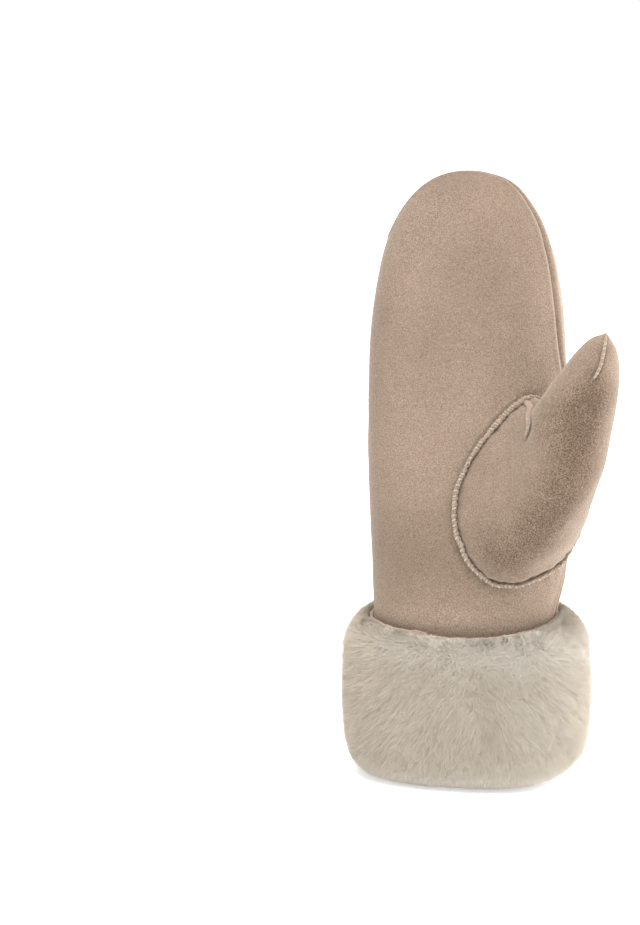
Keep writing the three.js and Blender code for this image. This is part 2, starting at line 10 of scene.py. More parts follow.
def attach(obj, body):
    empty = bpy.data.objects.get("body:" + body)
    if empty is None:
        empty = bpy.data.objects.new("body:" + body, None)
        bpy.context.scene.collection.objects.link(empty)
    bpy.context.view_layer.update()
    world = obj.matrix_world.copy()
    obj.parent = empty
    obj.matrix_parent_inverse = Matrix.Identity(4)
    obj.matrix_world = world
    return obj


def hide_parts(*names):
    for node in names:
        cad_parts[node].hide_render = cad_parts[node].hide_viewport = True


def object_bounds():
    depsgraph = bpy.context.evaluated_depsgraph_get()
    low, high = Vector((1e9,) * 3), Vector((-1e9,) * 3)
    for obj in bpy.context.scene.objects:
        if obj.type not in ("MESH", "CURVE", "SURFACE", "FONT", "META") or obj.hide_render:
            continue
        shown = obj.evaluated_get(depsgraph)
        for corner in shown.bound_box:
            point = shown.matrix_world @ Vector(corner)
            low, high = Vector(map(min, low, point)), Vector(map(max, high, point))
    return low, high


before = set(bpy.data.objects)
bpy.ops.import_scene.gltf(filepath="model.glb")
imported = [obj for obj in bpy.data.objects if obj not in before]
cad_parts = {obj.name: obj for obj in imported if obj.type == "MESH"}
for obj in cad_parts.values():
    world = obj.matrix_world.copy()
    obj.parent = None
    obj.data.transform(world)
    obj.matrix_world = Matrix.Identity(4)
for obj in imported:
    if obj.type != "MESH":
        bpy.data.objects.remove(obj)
cad_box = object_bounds()
noise.seed_set(1)  # noise_vector would otherwise start from the clock

LENGTH = 310.0
SKIN = 3.0  # thickness of the suede with its clipped wool
GAP = 0.35  # between the thumb and the edge of its hole
SQUARENESS = 2.35  # of the hand's sections; 2 is an ellipse
MOUTH = 9.0  # height at which the hand's skin begins
CUFF_SIDE_TOP = 86.5
CUFF_TILT = 6.5  # how much higher the cuff's edge is at the back, and lower at the palm
CUFF_DIP = 2.0  # how much lower the limp edge hangs in the middle of the palm
CUFF_DROP = 2.6  # how much lower it lies at the little finger's side
SEAM_RADIUS = 1.5
STITCH_PITCH = 3.0
DISC_TURN = 143.0
DISC_HEIGHT = 69.0
DISC_RADIUS = 5.1
MIDDLE = np.array([-7.6, 3.4, 0.0])  # where the hand's axis stands in the part's frame


def table(columns, rows):
    """Rows of numbers with named columns."""
    return np.array([tuple(r) for r in rows], dtype=[(c, float) for c in columns.split()])


# Sections of the hand, mouth to tip: height, half-widths and half-depths.
HAND = table("z little thumb palm back", [
    (MOUTH, 45.2, 44.6, 26, 27),
    (48, 45.8, 45, 26.5, 27),
    (90, 46.8, 46, 26.8, 27),
    (106, 47.6, 48.2, 26.8, 27),
    (120, 48.3, 52, 26.6, 27),
    (134, 49, 57, 26.4, 27),
    (150, 49.6, 60.2, 26, 27),
    (166, 50, 58.4, 25.6, 26.5),
    (184, 50.2, 53.2, 25, 26),
    (204, 50.2, 50.2, 24.2, 25.2),
    (228, 49.2, 48.9, 23, 24),
    (250, 46.7, 46.4, 21.4, 22.2),
    (270, 42.6, 42.3, 18.9, 19.6),
    (285, 36.4, 37, 16, 16.4),
    (297, 28.4, 29, 12.4, 12.6),
    (305, 19, 19.8, 8.4, 8.4),
    (308.7, 9.2, 9.4, 4, 4),
    (LENGTH, 0, 0, 0, 0),
])

# The seam round the thumb's base: place round the thumb and round the hand, height, and how
# steeply the thumb leaves the hand.
THUMB_BASE = table("angle turn z rise", [
    (0, -46, 200, 88),
    (22, -59, 197, 64),
    (45, -74, 186, 42),
    (68, -86, 170, 32),
    (90, -91, 149, 30),
    (112, -90.5, 133, 36),
    (132, -86, 118.5, 48),
    (150, -75, 108.5, 56),
    (170, -59, 106, 56),
    (190, -38, 110, 48),
    (212, -13, 118, 32),
    (240, 3, 134, 24),
    (270, 6, 154, 34),
    (305, -2, 176, 66),
    (335, -24, 191, 94),
])

# Free sections of the thumb: centre, half-width towards the fingers, half-depth.
THUMB = table("x y z wide deep", [
    (55.7, -35.5, 186.5, 20.8, 17),
    (60.6, -37, 198.5, 18, 16),
    (65.4, -38, 210.5, 15, 13.6),
    (69, -38.5, 221.5, 11.4, 10.8),
    (71.6, -38.8, 230, 6.8, 6.6),
    (73.4, -39, 235.4, 0, 0),
])
THUMB_LEAN_FROM = np.array([-0.8, 0, 1])  # the side of the thumb's sections towards the fingers
HOLE_WAY = np.array([1, -1, 0]) / math.sqrt(2)

# The sunk closing seam of the hand, wrist to tip, then along the crest of the tip.
CLOSING_SEAM = table("turn z", [
    (-7, 78),
    (-5, 94),
    (0, 108),
    (10, 120),
    (18, 134),
    (21, 152),
    (12, 176),
    (-4, 198),
    (-16, 222),
    (-19, 248),
    (-18, 272),
    (-14, 290),
    (-8, 302),
])
CREST = (11, 0, -12, -24, -39)  # where it runs over the tip, across the hand

# The thumb's own seam and the dart: place round the thumb and share of the way to its tip.
THUMB_SEAM_BACK = table("angle along", [
    (296, 0.12), (292, 0.3), (290, 0.5), (298, 0.63), (300, 0.76), (297, 0.88), (294, 0.95),
])
THUMB_SEAM_FRONT = table("angle along", [(100, 0.95), (104, 0.88), (104, 0.79), (96, 0.71)])
THUMB_DART = table("angle along", [(14, 0.09), (6, 0.2), (8, 0.34), (20, 0.44), (34, 0.43), (48, 0.33)])

# How thick the welt round the thumb's base is, by place round it, and how many stitches are hidden.
BASE_WELT = table("angle radius hidden", [
    (0, 0.6, 1.0),
    (8, 1.0, 0.8),
    (20, 1.6, 0.4),
    (42, 1.5, 0.5),
    (62, 1.0, 0.7),
    (78, 1.1, 0.2),
    (110, 1.15, 0.0),
    (150, 1.2, 0.0),
    (180, 1.1, 0.0),
    (215, 0.95, 0.0),
    (300, 1.0, 0.1),
    (345, 0.7, 0.8),
    (360, 0.6, 1.0),
])

# A faint crease beside the welt.
GUSSET_CREASE = table("angle along", [(52, 0.2), (58, 0.222), (70, 0.226), (80, 0.225), (90, 0.21)])

# Painted shade on the thumb: a dark band down its outer side, and how dark and wide.
THUMB_SHADE_BAND = table("angle along depth width", [
    (106, 0.86, 0.1, 5),
    (106, 0.74, 0.34, 8),
    (108, 0.66, 0.4, 9),
    (112, 0.58, 0.4, 10),
    (115, 0.46, 0.36, 11),
    (120, 0.38, 0.34, 13),
    (130, 0.32, 0.34, 14),
    (141, 0.26, 0.34, 15),
    (150, 0.19, 0.3, 14),
    (152, 0.11, 0.22, 12),
])

# Painted light and shade on hand, thumb and fur, lighter or darker in soft patches: the middle and size of
# each patch.
HAND_PAINTED_SHADING = table("x z wide tall lighter", [
    (0, 314, 90, 13, -0.2),
    (0, 284, 90, 20, -0.09),
    (-14, 232, 40, 26, -0.09),
    (14, 262, 16, 22, -0.08),
    (43, 228, 8, 36, 0.28),
    (-49, 190, 11, 95, -0.12),
    (-12, 112, 34, 16, -0.17),
    (-28, 134, 26, 20, -0.08),
    (2, 130, 36, 18, -0.08),
    (44, 100, 14, 12, 0.25),
    (0, 88, 80, 5, 0.14),
])
THUMB_PAINTED_SHADING = table("angle along size lighter", [
    (70, 0.6, 13, -0.17),
    (68, 0.5, 10, -0.12),
    (39, 0.26, 9, -0.1),
    (119, 0.08, 12, -0.15),
    (143, 0.1, 11, -0.1),
    (171, 0.08, 9, -0.12),
    (183, 0.16, 9, -0.16),
    (131, 0.8, 7, 0.3),
])
FUR_PAINTED_SHADING = table("x z wide tall lighter", [
    (40, 80, 45, 12, 0.4),
    (-10, 76, 45, 8, 0.2),
    (50, 45, 20, 40, 0.1),
    (-58, 52, 20, 44, -0.46),
    (0, 3, 90, 9, 0.6),
    (18, 38, 4, 8, -0.25),
    (13, 54, 5, 5, -0.18),
    (34, 76, 30, 10, 0.2),
    (-4, 73, 50, 9, 0.14),
    (34, 40, 16, 30, 0.12),
])

# The fur's outer face: share of the cuff's height, height added, distance out from the hand's
# surface, how much higher it stands at the two sides, and how much further out at the thumb side.
FUR = table("share z out side thumb", [
    (0.985, 0, 3.2, -0.6, 0),
    (1.0, 0, 5.6, -0.8, 0.4),
    (0.98, 0, 9.2, -1.2, 1),
    (0.92, 0, 12.7, -1.2, 2),
    (0.83, 0, 14.9, -0.8, 2.6),
    (0.63, 0, 16.4, 0, 3.1),
    (0.42, 0, 16.6, 0, 3.2),
    (0.25, 0, 15.9, 0, 2.9),
    (0.155, 0, 14.3, 0, 1.6),
    (0.085, 0, 11.5, 0, -1.4),
    (0.035, 0, 7.6, 0, -4.6),
    (0.01, 0, 4.2, 0, -6.0),
    (0, 0, 2.4, 0, -5.4),
    (0, 0, -4.5, 0, 0),
    (0, 3, -6.4, 0, 0),
    (0, 9, -9, 0, 0),
    (0, 18, -9.6, 0, 0),
    (0, 26, -7.6, 0, 0),
    (0, 29, -4.4, 0, 0),
])


def unit(v):
    return v / np.maximum(np.linalg.norm(v, axis=-1, keepdims=True), 1e-9)


def squared(ways, normals):
    """Unit ways at right angles to normals, nearest to the ways given."""
    return unit(ways - normals * np.sum(ways * normals, axis=-1, keepdims=True))


def signed_power(v, p):
    return np.sign(v) * np.abs(v) ** p


def bell(away, width, power=2):
    """1 in the middle, falling smoothly to nothing some widths away."""
    return np.exp(-((away / width) ** power))


def round_turn(count):
    """Evenly spaced angles of a full turn."""
    return np.linspace(0, 2 * math.pi, count, endpoint=False)


def running_total(steps):
    return np.concatenate([[0], np.cumsum(steps)])


def lengths_to(line):
    """The length of a line up to each of its points."""
    return running_total(np.linalg.norm(np.diff(line, axis=0), axis=1))


def blend(rows, column, at):
    """A smooth value of one column between rows, at row numbers with a fraction."""
    values = rows[column]
    last = len(values) - 1
    i = np.clip(np.floor(at).astype(int), 0, last - 1)
    t = at - i
    a, b, c, d = (values[np.clip(i + k, 0, last)] for k in (-1, 0, 1, 2))
    t2 = t * t
    t3 = t2 * t
    s0 = (c - a) / 2
    s1 = (d - b) / 2
    return (2 * t3 - 3 * t2 + 1) * b + (t3 - 2 * t2 + t) * s0 + (3 * t2 - 2 * t3) * c + (t3 - t2) * s1


def row_at(rows, column, value):
    """The row numbers at which a rising column reaches the values."""
    dense = np.linspace(0, len(rows) - 1, 4001)
    return np.interp(value, blend(rows, column, dense), dense)


def hand_at_row(turn, row, out=0.0):
    """Points of the hand's plain form, at row numbers of its table."""
    c, s = np.cos(turn), np.sin(turn)
    wide = np.where(c < 0, blend(HAND, "little", row), blend(HAND, "thumb", row)) + out
    deep = np.where(s < 0, blend(HAND, "palm", row), blend(HAND, "back", row)) + out
    x = np.maximum(wide, 0) * signed_power(c, 2 / SQUARENESS)
    y = np.maximum(deep, 0) * signed_power(s, 2 / SQUARENESS)
    return np.stack(np.broadcast_arrays(x, y, blend(HAND, "z", row)), axis=-1)


def hand_point(turn, z, out=0.0):
    """Points at a distance out from the hand's plain form, at heights."""
    turn, z, out = np.broadcast_arrays(*(np.asarray(v, float) for v in (turn, z, out)))
    p = hand_at_row(turn, row_at(HAND, "z", np.maximum(z, MOUTH)), out)
    p[..., 2] = z
    return p


def hand_normal(turn, z):
    along = hand_point(turn + 0.02, z) - hand_point(turn - 0.02, z)
    up = hand_point(turn, z + 0.5) - hand_point(turn, z - 0.5)
    return unit(np.cross(along, up))


def cuff_top(turn):
    """Height of the cuff's cut edge."""
    s = np.sin(turn)
    level = CUFF_SIDE_TOP + CUFF_TILT * np.where(s > 0, s**3, s)
    return level - np.where(s < 0, CUFF_DIP * s**6, 0) - CUFF_DROP * np.maximum(-np.cos(turn), 0) ** 4


LOOPED_BASE = np.concatenate([THUMB_BASE[-2:], THUMB_BASE, THUMB_BASE[:3]])
LOOPED_BASE["angle"][:2] -= 360
LOOPED_BASE["angle"][-3:] += 360


def base_point(angle):
    at = row_at(LOOPED_BASE, "angle", np.degrees(angle) % 360)
    return hand_point(np.radians(blend(LOOPED_BASE, "turn", at)), blend(LOOPED_BASE, "z", at))


BASE_CENTRE = base_point(round_turn(48)).mean(axis=0)


def base_frame(angle):
    """Point on the base seam, ways out of the hand, into the ring, and in which the thumb leaves."""
    angle = np.asarray(angle, float)
    at = row_at(LOOPED_BASE, "angle", np.degrees(angle) % 360)
    turn, z = np.radians(blend(LOOPED_BASE, "turn", at)), blend(LOOPED_BASE, "z", at)
    rise = np.radians(blend(LOOPED_BASE, "rise", at))[..., None]
    point = hand_point(turn, z)
    outward = hand_normal(turn, z)
    along = unit(base_point(angle + 0.03) - base_point(angle - 0.03))
    inward = unit(np.cross(outward, along))
    facing = np.sum(inward * (BASE_CENTRE - point), axis=-1, keepdims=True)
    inward = np.where(facing < 0, -inward, inward)
    leave = outward * np.sin(rise) + inward * np.cos(rise)
    return point, outward, inward, leave


def thumb_frame(row):
    """Centre of a free section of the thumb, and ways along, towards the fingers and to the palm."""

    def at(r):
        return np.stack([blend(THUMB, c, r) for c in "xyz"], axis=-1)

    axis = unit(at(row + 0.05) - at(row - 0.05))
    crotch = squared(THUMB_LEAN_FROM, axis)
    return at(row), axis, crotch, np.cross(axis, crotch)


def free_thumb_point(angle, row, inset):
    last = len(THUMB) - 1
    centre, axis, crotch, palm = thumb_frame(np.minimum(row, last - 0.06))
    end = thumb_frame(np.minimum(row, last))[0]
    centre = np.where((row > last - 0.06)[..., None], end, centre)
    wide = np.maximum(blend(THUMB, "wide", row) - inset, 0)
    deep = np.maximum(blend(THUMB, "deep", row) - inset, 0)
    across = (wide * np.cos(angle))[..., None] * crotch
    return centre + across + (deep * np.sin(angle))[..., None] * palm - axis * inset * 0.4


def thumb_point(angle, along, inset=0.0):
    """The thumb's surface: the first half of the way is its root, the rest its free end."""
    angle, along = np.broadcast_arrays(np.asarray(angle, float), np.asarray(along, float))
    point, _, inward, leave = base_frame(angle)
    zero = np.zeros_like(angle)
    end = free_thumb_point(angle, zero, inset)
    upright = (0.4 * (1 - np.cos(angle)))[..., None]
    axis = unit(thumb_frame(zero)[1] * (1 - upright) + np.array([0, 0, 1]) * upright)
    start = point + inward * (GAP + inset)
    reach = np.linalg.norm(end - start, axis=-1, keepdims=True)
    first = start + leave * reach * 0.36
    second = end - axis * np.minimum(reach * 0.34, 30)
    t = np.clip(along * 2, 0, 1)[..., None]
    root = start * (1 - t) ** 3 + 3 * first * t * (1 - t) ** 2 + 3 * second * t * t * (1 - t) + end * t**3
    free = free_thumb_point(angle, np.clip(along * 2 - 1, 0, 1) * (len(THUMB) - 1), inset)
    return np.where((along <= 0.5)[..., None], root, free)


def grid_normals(grid, wrap):
    """Normals of a grid of points, rows by columns, with columns going round."""
    across = np.roll(grid, -1, axis=1) - np.roll(grid, 1, axis=1) if wrap else np.gradient(grid, axis=1)
    up = np.gradient(grid, axis=0)
    return unit(np.cross(across, up))


def bridge(ring, other):
    """Quads between two rings of vertex numbers."""
    return np.stack([ring, other, np.roll(other, -1), np.roll(ring, -1)], axis=-1)


def grid_faces(rows, columns, first=0, flip=False):
    """Quads of a grid whose columns go round."""
    r, c = np.meshgrid(np.arange(rows - 1), np.arange(columns), indexing="ij")
    n = (c + 1) % columns
    quads = np.stack([r * columns + c, r * columns + n, (r + 1) * columns + n, (r + 1) * columns + c], -1)
    quads = quads.reshape(-1, 4) + first
    return quads[:, ::-1] if flip else quads


def fan(ring, point, flip=False):
    """Triangles from a ring of vertex numbers to one vertex."""
    t = np.stack([ring, np.roll(ring, -1), np.full_like(ring, point)], axis=-1)
    return t[:, ::-1] if flip else t


def closed_grid(grid, ends):
    """Points and faces of a grid whose columns go round, closed with a point at each end."""
    rows, columns = grid.shape[:2]
    n = rows * columns
    i = np.arange(columns)
    caps = [fan(i, n, flip=True), fan(n - columns + i, n + 1)]
    return np.concatenate([grid.reshape(-1, 3), ends]), grid_faces(rows, columns), np.concatenate(caps)


def make_object(name, points, quads=None, tris=None, materials=(), indices=None, tones=None):
    """A smooth-shaded mesh object from arrays, in the part's frame, with tones kept as a UV layer."""
    quads = np.zeros((0, 4), int) if quads is None else np.asarray(quads)
    tris = np.zeros((0, 3), int) if tris is None else np.asarray(tris)
    points = np.asarray(points).reshape(-1, 3)
    mesh = bpy.data.meshes.new(name)
    mesh.vertices.add(len(points))
    placed = (points + MIDDLE) * 0.001
    mesh.vertices.foreach_set("co", placed.astype(np.float32).ravel())
    corners = np.concatenate([quads.ravel(), tris.ravel()]).astype(np.int32)
    mesh.loops.add(len(corners))
    mesh.loops.foreach_set("vertex_index", corners)
    starts = np.concatenate([np.arange(len(quads)) * 4, len(quads) * 4 + np.arange(len(tris)) * 3])
    mesh.polygons.add(len(starts))
    mesh.polygons.foreach_set("loop_start", starts.astype(np.int32))
    if indices is not None:
        mesh.polygons.foreach_set("material_index", np.asarray(indices, np.int32))
    if tones is not None:
        layer = mesh.uv_layers.new(name="tone")
        layer.data.foreach_set("uv", np.asarray(tones, np.float32)[corners].ravel())
    for m in materials:
        mesh.materials.append(m)
    mesh.update(calc_edges=True)
    mesh.polygons.foreach_set("use_smooth", np.ones(len(starts), bool))
    obj = bpy.data.objects.new(name, mesh)
    bpy.context.collection.objects.link(obj)
    return obj


def add_piece(obj, slot, *replaced):
    if replaced:
        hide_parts(*replaced)
    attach(obj, "root")
    return obj


def noise_at(points, size, seed=0.0):
    """Smooth noise, -1 to 1, at points, with features of about the size given."""
    shift = Vector((seed, seed * 1.7, -seed))
    values = [noise.noise(Vector(p) / size + shift) for p in points.reshape(-1, 3)]
    return np.array(values).reshape(points.shape[:-1])


def noise_ways(points, size, seed=0.0):
    """Smooth random directions, at points."""
    shift = Vector((seed, seed * 1.7, -seed))
    return np.array([noise.noise_vector(Vector(p) / size + shift) for p in points])


def patches(points, rows):
    """How much painted light lightens points, or painted shade darkens them, from a table of soft patches."""
    total = np.zeros(points.shape[:-1])
    for r in rows:
        away = ((points[..., 0] - r["x"]) / r["wide"]) ** 2 + ((points[..., 2] - r["z"]) / r["tall"]) ** 2
        total += r["lighter"] * np.exp(-away)
    return total


def nearest(points, line):
    """Distance from each point to the nearest of a line's points, and that point's number."""
    tree = KDTree(len(line))
    for i, p in enumerate(line):
        tree.insert(p, i)
    tree.balance()
    found = [tree.find(p)[1:] for p in points.reshape(-1, 3)]
    number, distance = (np.array(column).reshape(points.shape[:-1]) for column in zip(*found))
    return distance, number


def skin_tree(grid, tip=None):
    """A search tree of a grid's faces that go round, and of a tip that closes it."""
    rows, columns = grid.shape[:2]
    points = [Vector(p) for p in grid.reshape(-1, 3)]
    faces = [tuple(q) for q in grid_faces(rows, columns).tolist()]
    if tip is not None:
        points.append(Vector(tip))
        last = (rows - 1) * columns + np.arange(columns)
        faces += [tuple(f) for f in fan(last, rows * columns).tolist()]
    return BVHTree.FromPolygons(points, faces)


def kept_under(rings, tree, least):
    """Rings of points, each point moved towards its ring's middle until it lies so far under a skin."""
    rings = rings.copy()
    for ring in rings:
        middle = ring.mean(axis=0)
        for i in range(len(ring)):
            for _ in range(14):
                place, normal, _, distance = tree.find_nearest(Vector(ring[i]))
                if distance > SKIN or (place - Vector(ring[i])).dot(normal) >= least:
                    break
                ring[i] += (middle - ring[i]) * 0.1
    return rings


def laid_on(line, tree, lift):
    """A line's points put above a skin, by a lift for each."""
    found = [tree.find_nearest(Vector(p)) for p in line]
    return np.array([tuple(place + normal * h) for (place, normal, _, _), h in zip(found, lift)])


def smooth_line(points, count, closed=False):
    """Evenly spaced points on a smooth curve through the points given."""
    points = np.asarray(points, float)
    n = len(points)
    spans = n if closed else n - 1
    t = np.linspace(0, spans, spans * 40 + 1)
    i = np.minimum(t.astype(int), spans - 1)
    u = (t - i)[:, None]

    def pick(k):
        return points[(i + k) % n] if closed else points[np.clip(i + k, 0, n - 1)]

    a, b, c, d = (pick(k) for k in (-1, 0, 1, 2))
    dense = 0.5 * (2 * b + (c - a) * u + (2 * a - 5 * b + 4 * c - d) * u**2 + (3 * b - a - 3 * c + d) * u**3)
    length = lengths_to(dense)
    at = np.linspace(0, length[-1], count + 1 if closed else count)
    line = np.stack([np.interp(at, length, dense[:, k]) for k in range(3)], axis=-1)
    return line[:-1] if closed else line


def line_frames(line, outs, closed):
    """Tangent, outward and sideways directions along a line."""
    along = np.roll(line, -1, axis=0) - np.roll(line, 1, axis=0) if closed else np.gradient(line, axis=0)
    along = unit(along)
    out = squared(outs, along)
    return along, out, np.cross(along, out)


def tube(line, outs, radius, sides, closed):
    """Points and faces of a tube; radius is one number, or an array of points by sides."""
    _, out, side = line_frames(line, outs, closed)
    phi = round_turn(sides)
    radius = np.broadcast_to(radius, (len(line), sides))[..., None]
    ring = out[:, None] * np.cos(phi)[None, :, None] + side[:, None] * np.sin(phi)[None, :, None]
    grid = line[:, None] + ring * radius
    if closed:
        quads = grid_faces(len(line), sides)
        last = (len(line) - 1) * sides + np.arange(sides)
        first = np.arange(sides)
        wrap = np.stack([last, np.roll(last, -1), np.roll(first, -1), first], axis=-1)
        return grid.reshape(-1, 3), np.concatenate([quads, wrap]), np.zeros((0, 3), int)
    return closed_grid(grid, [line[0], line[-1]])


def joined(parts):
    """Several (points, quads, tris) as one."""
    points, quads, tris, count = [], [], [], 0
    for p, q, t in parts:
        points.append(p)
        quads.append(q + count)
        tris.append(t + count)
        count += len(p)
    return np.concatenate(points), np.concatenate(quads), np.concatenate(tris)


def inside(points, polygon):
    """Which 2-D points lie in a polygon."""
    x, y = points[..., 0], points[..., 1]
    result = np.zeros(x.shape, bool)
    for (x0, y0), (x1, y1) in zip(polygon, np.roll(polygon, -1, axis=0)):
        crosses = (y0 > y) != (y1 > y)
        result ^= crosses & (x < (x1 - x0) * (y - y0) / (y1 - y0 + 1e-12) + x0)
    return result


# Materials.


class Surface:
    """A material, with short ways to add the nodes that feed its shader."""

    def __init__(self, name):
        self.material = bpy.data.materials.new(name)
        self.material.use_nodes = True
        self.nodes = self.material.node_tree.nodes

    def add(self, kind):
        return self.nodes.new("ShaderNode" + kind)

    def fill(self, node, values):
        """Numbers, lists, colours as tuples and other nodes' outputs put into a node's sockets."""
        for name, value in values.items():
            socket = node.inputs[name]
            if isinstance(value, bpy.types.NodeSocket):
                self.material.node_tree.links.new(value, socket)
            elif isinstance(value, tuple):
                socket.default_value = (*value, 1)
            else:
                socket.default_value = value

    def noise(self, scale, detail, roughness, stretch=None, turned=(0, 0, 0)):
        place = self.add("TexCoord").outputs["Object"]
        if stretch:
            mapping = self.add("Mapping")
            mapping.vector_type = "TEXTURE"
            shrunk = [1 / v for v in stretch]
            self.fill(mapping, {"Vector": place, "Scale": shrunk, "Rotation": list(turned)})
            place = mapping.outputs["Vector"]
        node = self.add("TexNoise")
        self.fill(node, {"Vector": place, "Scale": scale, "Detail": detail, "Roughness": roughness})
        return node.outputs["Fac"]

    def ramp(self, source, *stops):
        """A colour for a number; each stop is a place and its colour."""
        node = self.add("ValToRGB")
        elements = node.color_ramp.elements
        while len(elements) < len(stops):
            elements.new(0.5)
        for element, (place, colour) in zip(elements, stops):
            element.position = place
            element.color = (*colour, 1)
        self.fill(node, {"Fac": source})
        return node.outputs["Color"]

    def multiply(self, amount, a, b):
        """One colour multiplied by another; the amount is a number or a socket."""
        node = self.add("Mix")
        node.data_type = "RGBA"
        node.blend_type = "MULTIPLY"
        self.fill(node, {"Factor": amount, "A": a, "B": b})
        return node.outputs["Result"]

    def bump(self, height, distance, strength=1.0, under=None):
        node = self.add("Bump")
        self.fill(node, {"Strength": strength, "Distance": distance, "Height": height})
        if under:
            self.fill(node, {"Normal": under})
        return node.outputs["Normal"]

    def tone(self, axis):
        """One number of the tones that a mesh carries."""
        uv = self.add("UVMap")
        uv.uv_map = "tone"
        split = self.add("SeparateXYZ")
        self.fill(split, {"Vector": uv.outputs["UV"]})
        return split.outputs[axis]

    def finished(self, values):
        self.fill(self.nodes["Principled BSDF"], values)
        return self.material


BRUSHED = ((1, 1, 0.6), (0, 0.7, 0))  # stretch and turn of grain that lies slantwise


def suede_material(name, dark, light, with_painted_shade=False):
    """Short-napped suede: fine brushed mottling, broad patches, specks and a soft sheen; where asked, also
    the painted light and shade that the mesh carries as tones.
    """
    s = Surface(name)
    colour = s.ramp(s.noise(2300, 2, 0.7, *BRUSHED), (0.36, dark), (0.64, light))
    patch = s.noise(34, 2.5, 0.55, (1, 1, 0.7), (0, 0.8, 0))
    brushed = s.ramp(patch, (0.34, (0.93, 0.92, 0.915)), (0.66, (1.04, 1.04, 1.04)))
    colour = s.multiply(1.0, colour, brushed)
    specks = s.ramp(s.noise(900, 1, 0.4), (0.2, (0.68, 0.64, 0.61)), (0.28, (1, 1, 1)))
    colour = s.multiply(0.65, colour, specks)
    if with_painted_shade:
        # Painted light and shade from the tones, with coarser grain where the shade is painted.
        stops = (0.0, (0.42, 0.39, 0.37)), (0.5, (0.8, 0.8, 0.8)), (1.0, (1.0, 1.0, 1.0))
        colour = s.multiply(1.0, colour, s.ramp(s.tone("X"), *stops))
        ruffle = s.noise(1800, 2, 0.7, *BRUSHED)
        ruffled = s.ramp(ruffle, (0.36, (0.55, 0.54, 0.53)), (0.64, (1.42, 1.42, 1.42)))
        colour = s.multiply(s.tone("Y"), colour, ruffled)
    soft = s.bump(s.noise(620, 2, 0.6), 0.0004, 0.16)
    return s.finished({
        "Base Color": colour,
        "Normal": s.bump(s.noise(2100, 2, 0.7, *BRUSHED), 0.0003, 1.0, soft),
        "Roughness": 0.95,
        "Specular IOR Level": 0.1,
        "Sheen Weight": 0.3,
        "Sheen Roughness": 0.4,
        "Sheen Tint": (0.95, 0.88, 0.8),
    })


def fleece_material(name):
    """Clipped wool on the inside."""
    s = Surface(name)
    tuft = s.noise(700, 4, 0.7)
    return s.finished({
        "Base Color": s.ramp(tuft, (0.3, (0.26, 0.23, 0.19)), (0.7, (0.5, 0.47, 0.41))),
        "Normal": s.bump(tuft, 0.001),
        "Roughness": 1.0,
        "Specular IOR Level": 0.1,
    })


def fur_material(name):
    """Strands: darker at the root than at the tip, which is painted shade deep in the pile, each with its own
    tone that also carries painted light and shade.
    """
    s = Surface(name)
    along = (0.0, (0.52, 0.45, 0.36)), (0.45, (0.58, 0.515, 0.425)), (1.0, (0.64, 0.585, 0.5))
    tones = (0.0, (0.8, 0.775, 0.75)), (0.5, (0.92, 0.915, 0.905)), (1.0, (1.05, 1.08, 1.13))
    return s.finished({
        "Base Color": s.multiply(1.0, s.ramp(s.tone("Y"), *along), s.ramp(s.tone("X"), *tones)),
        "Roughness": 0.8,
        "Specular IOR Level": 0.15,
        "Sheen Weight": 0.25,
    })


def thread_material(name):
    s = Surface(name)
    twist = s.noise(2200, 2, 0.6)
    return s.finished({
        "Base Color": s.ramp(twist, (0.3, (0.33, 0.262, 0.198)), (0.7, (0.48, 0.405, 0.322))),
        "Normal": s.bump(twist, 0.0003),
        "Roughness": 0.8,
        "Sheen Weight": 0.3,
    })


def metal_material(name):
    s = Surface(name)
    scratch = s.noise(900, 3, 0.6, (1, 1, 6))
    rough = s.add("MapRange")
    s.fill(rough, {"Value": scratch, "To Min": 0.28, "To Max": 0.45})
    return s.finished({
        "Base Color": s.ramp(scratch, (0.3, (0.5, 0.48, 0.45)), (0.7, (0.66, 0.64, 0.6))),
        "Roughness": rough.outputs["Result"],
        "Metallic": 0.85,
    })


suede = suede_material("suede", (0.21, 0.15, 0.108), (0.4, 0.31, 0.24), with_painted_shade=True)
ridge_suede = suede_material("seam_suede", (0.19, 0.138, 0.1), (0.37, 0.29, 0.227))
raw_suede = suede_material("raw_suede", (0.27, 0.19, 0.142), (0.46, 0.35, 0.275))
fleece = fleece_material("clipped_wool")
fur = fur_material("fur")
thread = thread_material("thread")
metal = metal_material("disc_metal")


# The hand.

BASE_POINTS = 900  # points on the line round the thumb's base from which distances are taken


def base_ring():
    return base_point(round_turn(BASE_POINTS))


def closing_seam_line():
    side = hand_point(np.radians(CLOSING_SEAM["turn"]), CLOSING_SEAM["z"])
    dense = np.linspace(len(HAND) - 8, len(HAND) - 1, 2001)
    crest = []
    for x in CREST:
        widths = blend(HAND, "thumb" if x > 0 else "little", dense)
        row = np.interp(-abs(x), -widths, dense)
        crest.append(hand_at_row(np.array(0.0 if x > 0 else math.pi), np.array(row)))
    return smooth_line(np.concatenate([side, np.array(crest)]), 700)


def hand_columns(count):
    """Places round the hand, closer together where the closing seam runs."""
    dense = np.linspace(-math.pi, math.pi, 4001)
    step = np.linalg.norm(np.diff(hand_point(dense, 160.0), axis=0), axis=1)
    middle = (dense[1:] + dense[:-1]) / 2
    total = running_total(step * (1 + 2.2 * bell(middle, math.radians(27), 4)))
    return np.interp(np.linspace(0, total[-1], count, endpoint=False), total, dense)


def hand_rows(count, z_from, last):
    """Row numbers evenly spaced up the hand's outline."""
    dense = np.linspace(row_at(HAND, "z", z_from), len(HAND) - 1 - last, 3001)
    length = running_total(np.hypot(np.diff(blend(HAND, "little", dense)), np.diff(blend(HAND, "z", dense))))
    return np.interp(np.linspace(0, length[-1], count), length, dense)


def gathers(where, *waves):
    """Small waves along the thumb's base, each a height and how often it comes round."""
    return sum(height * np.sin(where / BASE_POINTS * 2 * math.pi * times) for height, times in waves)


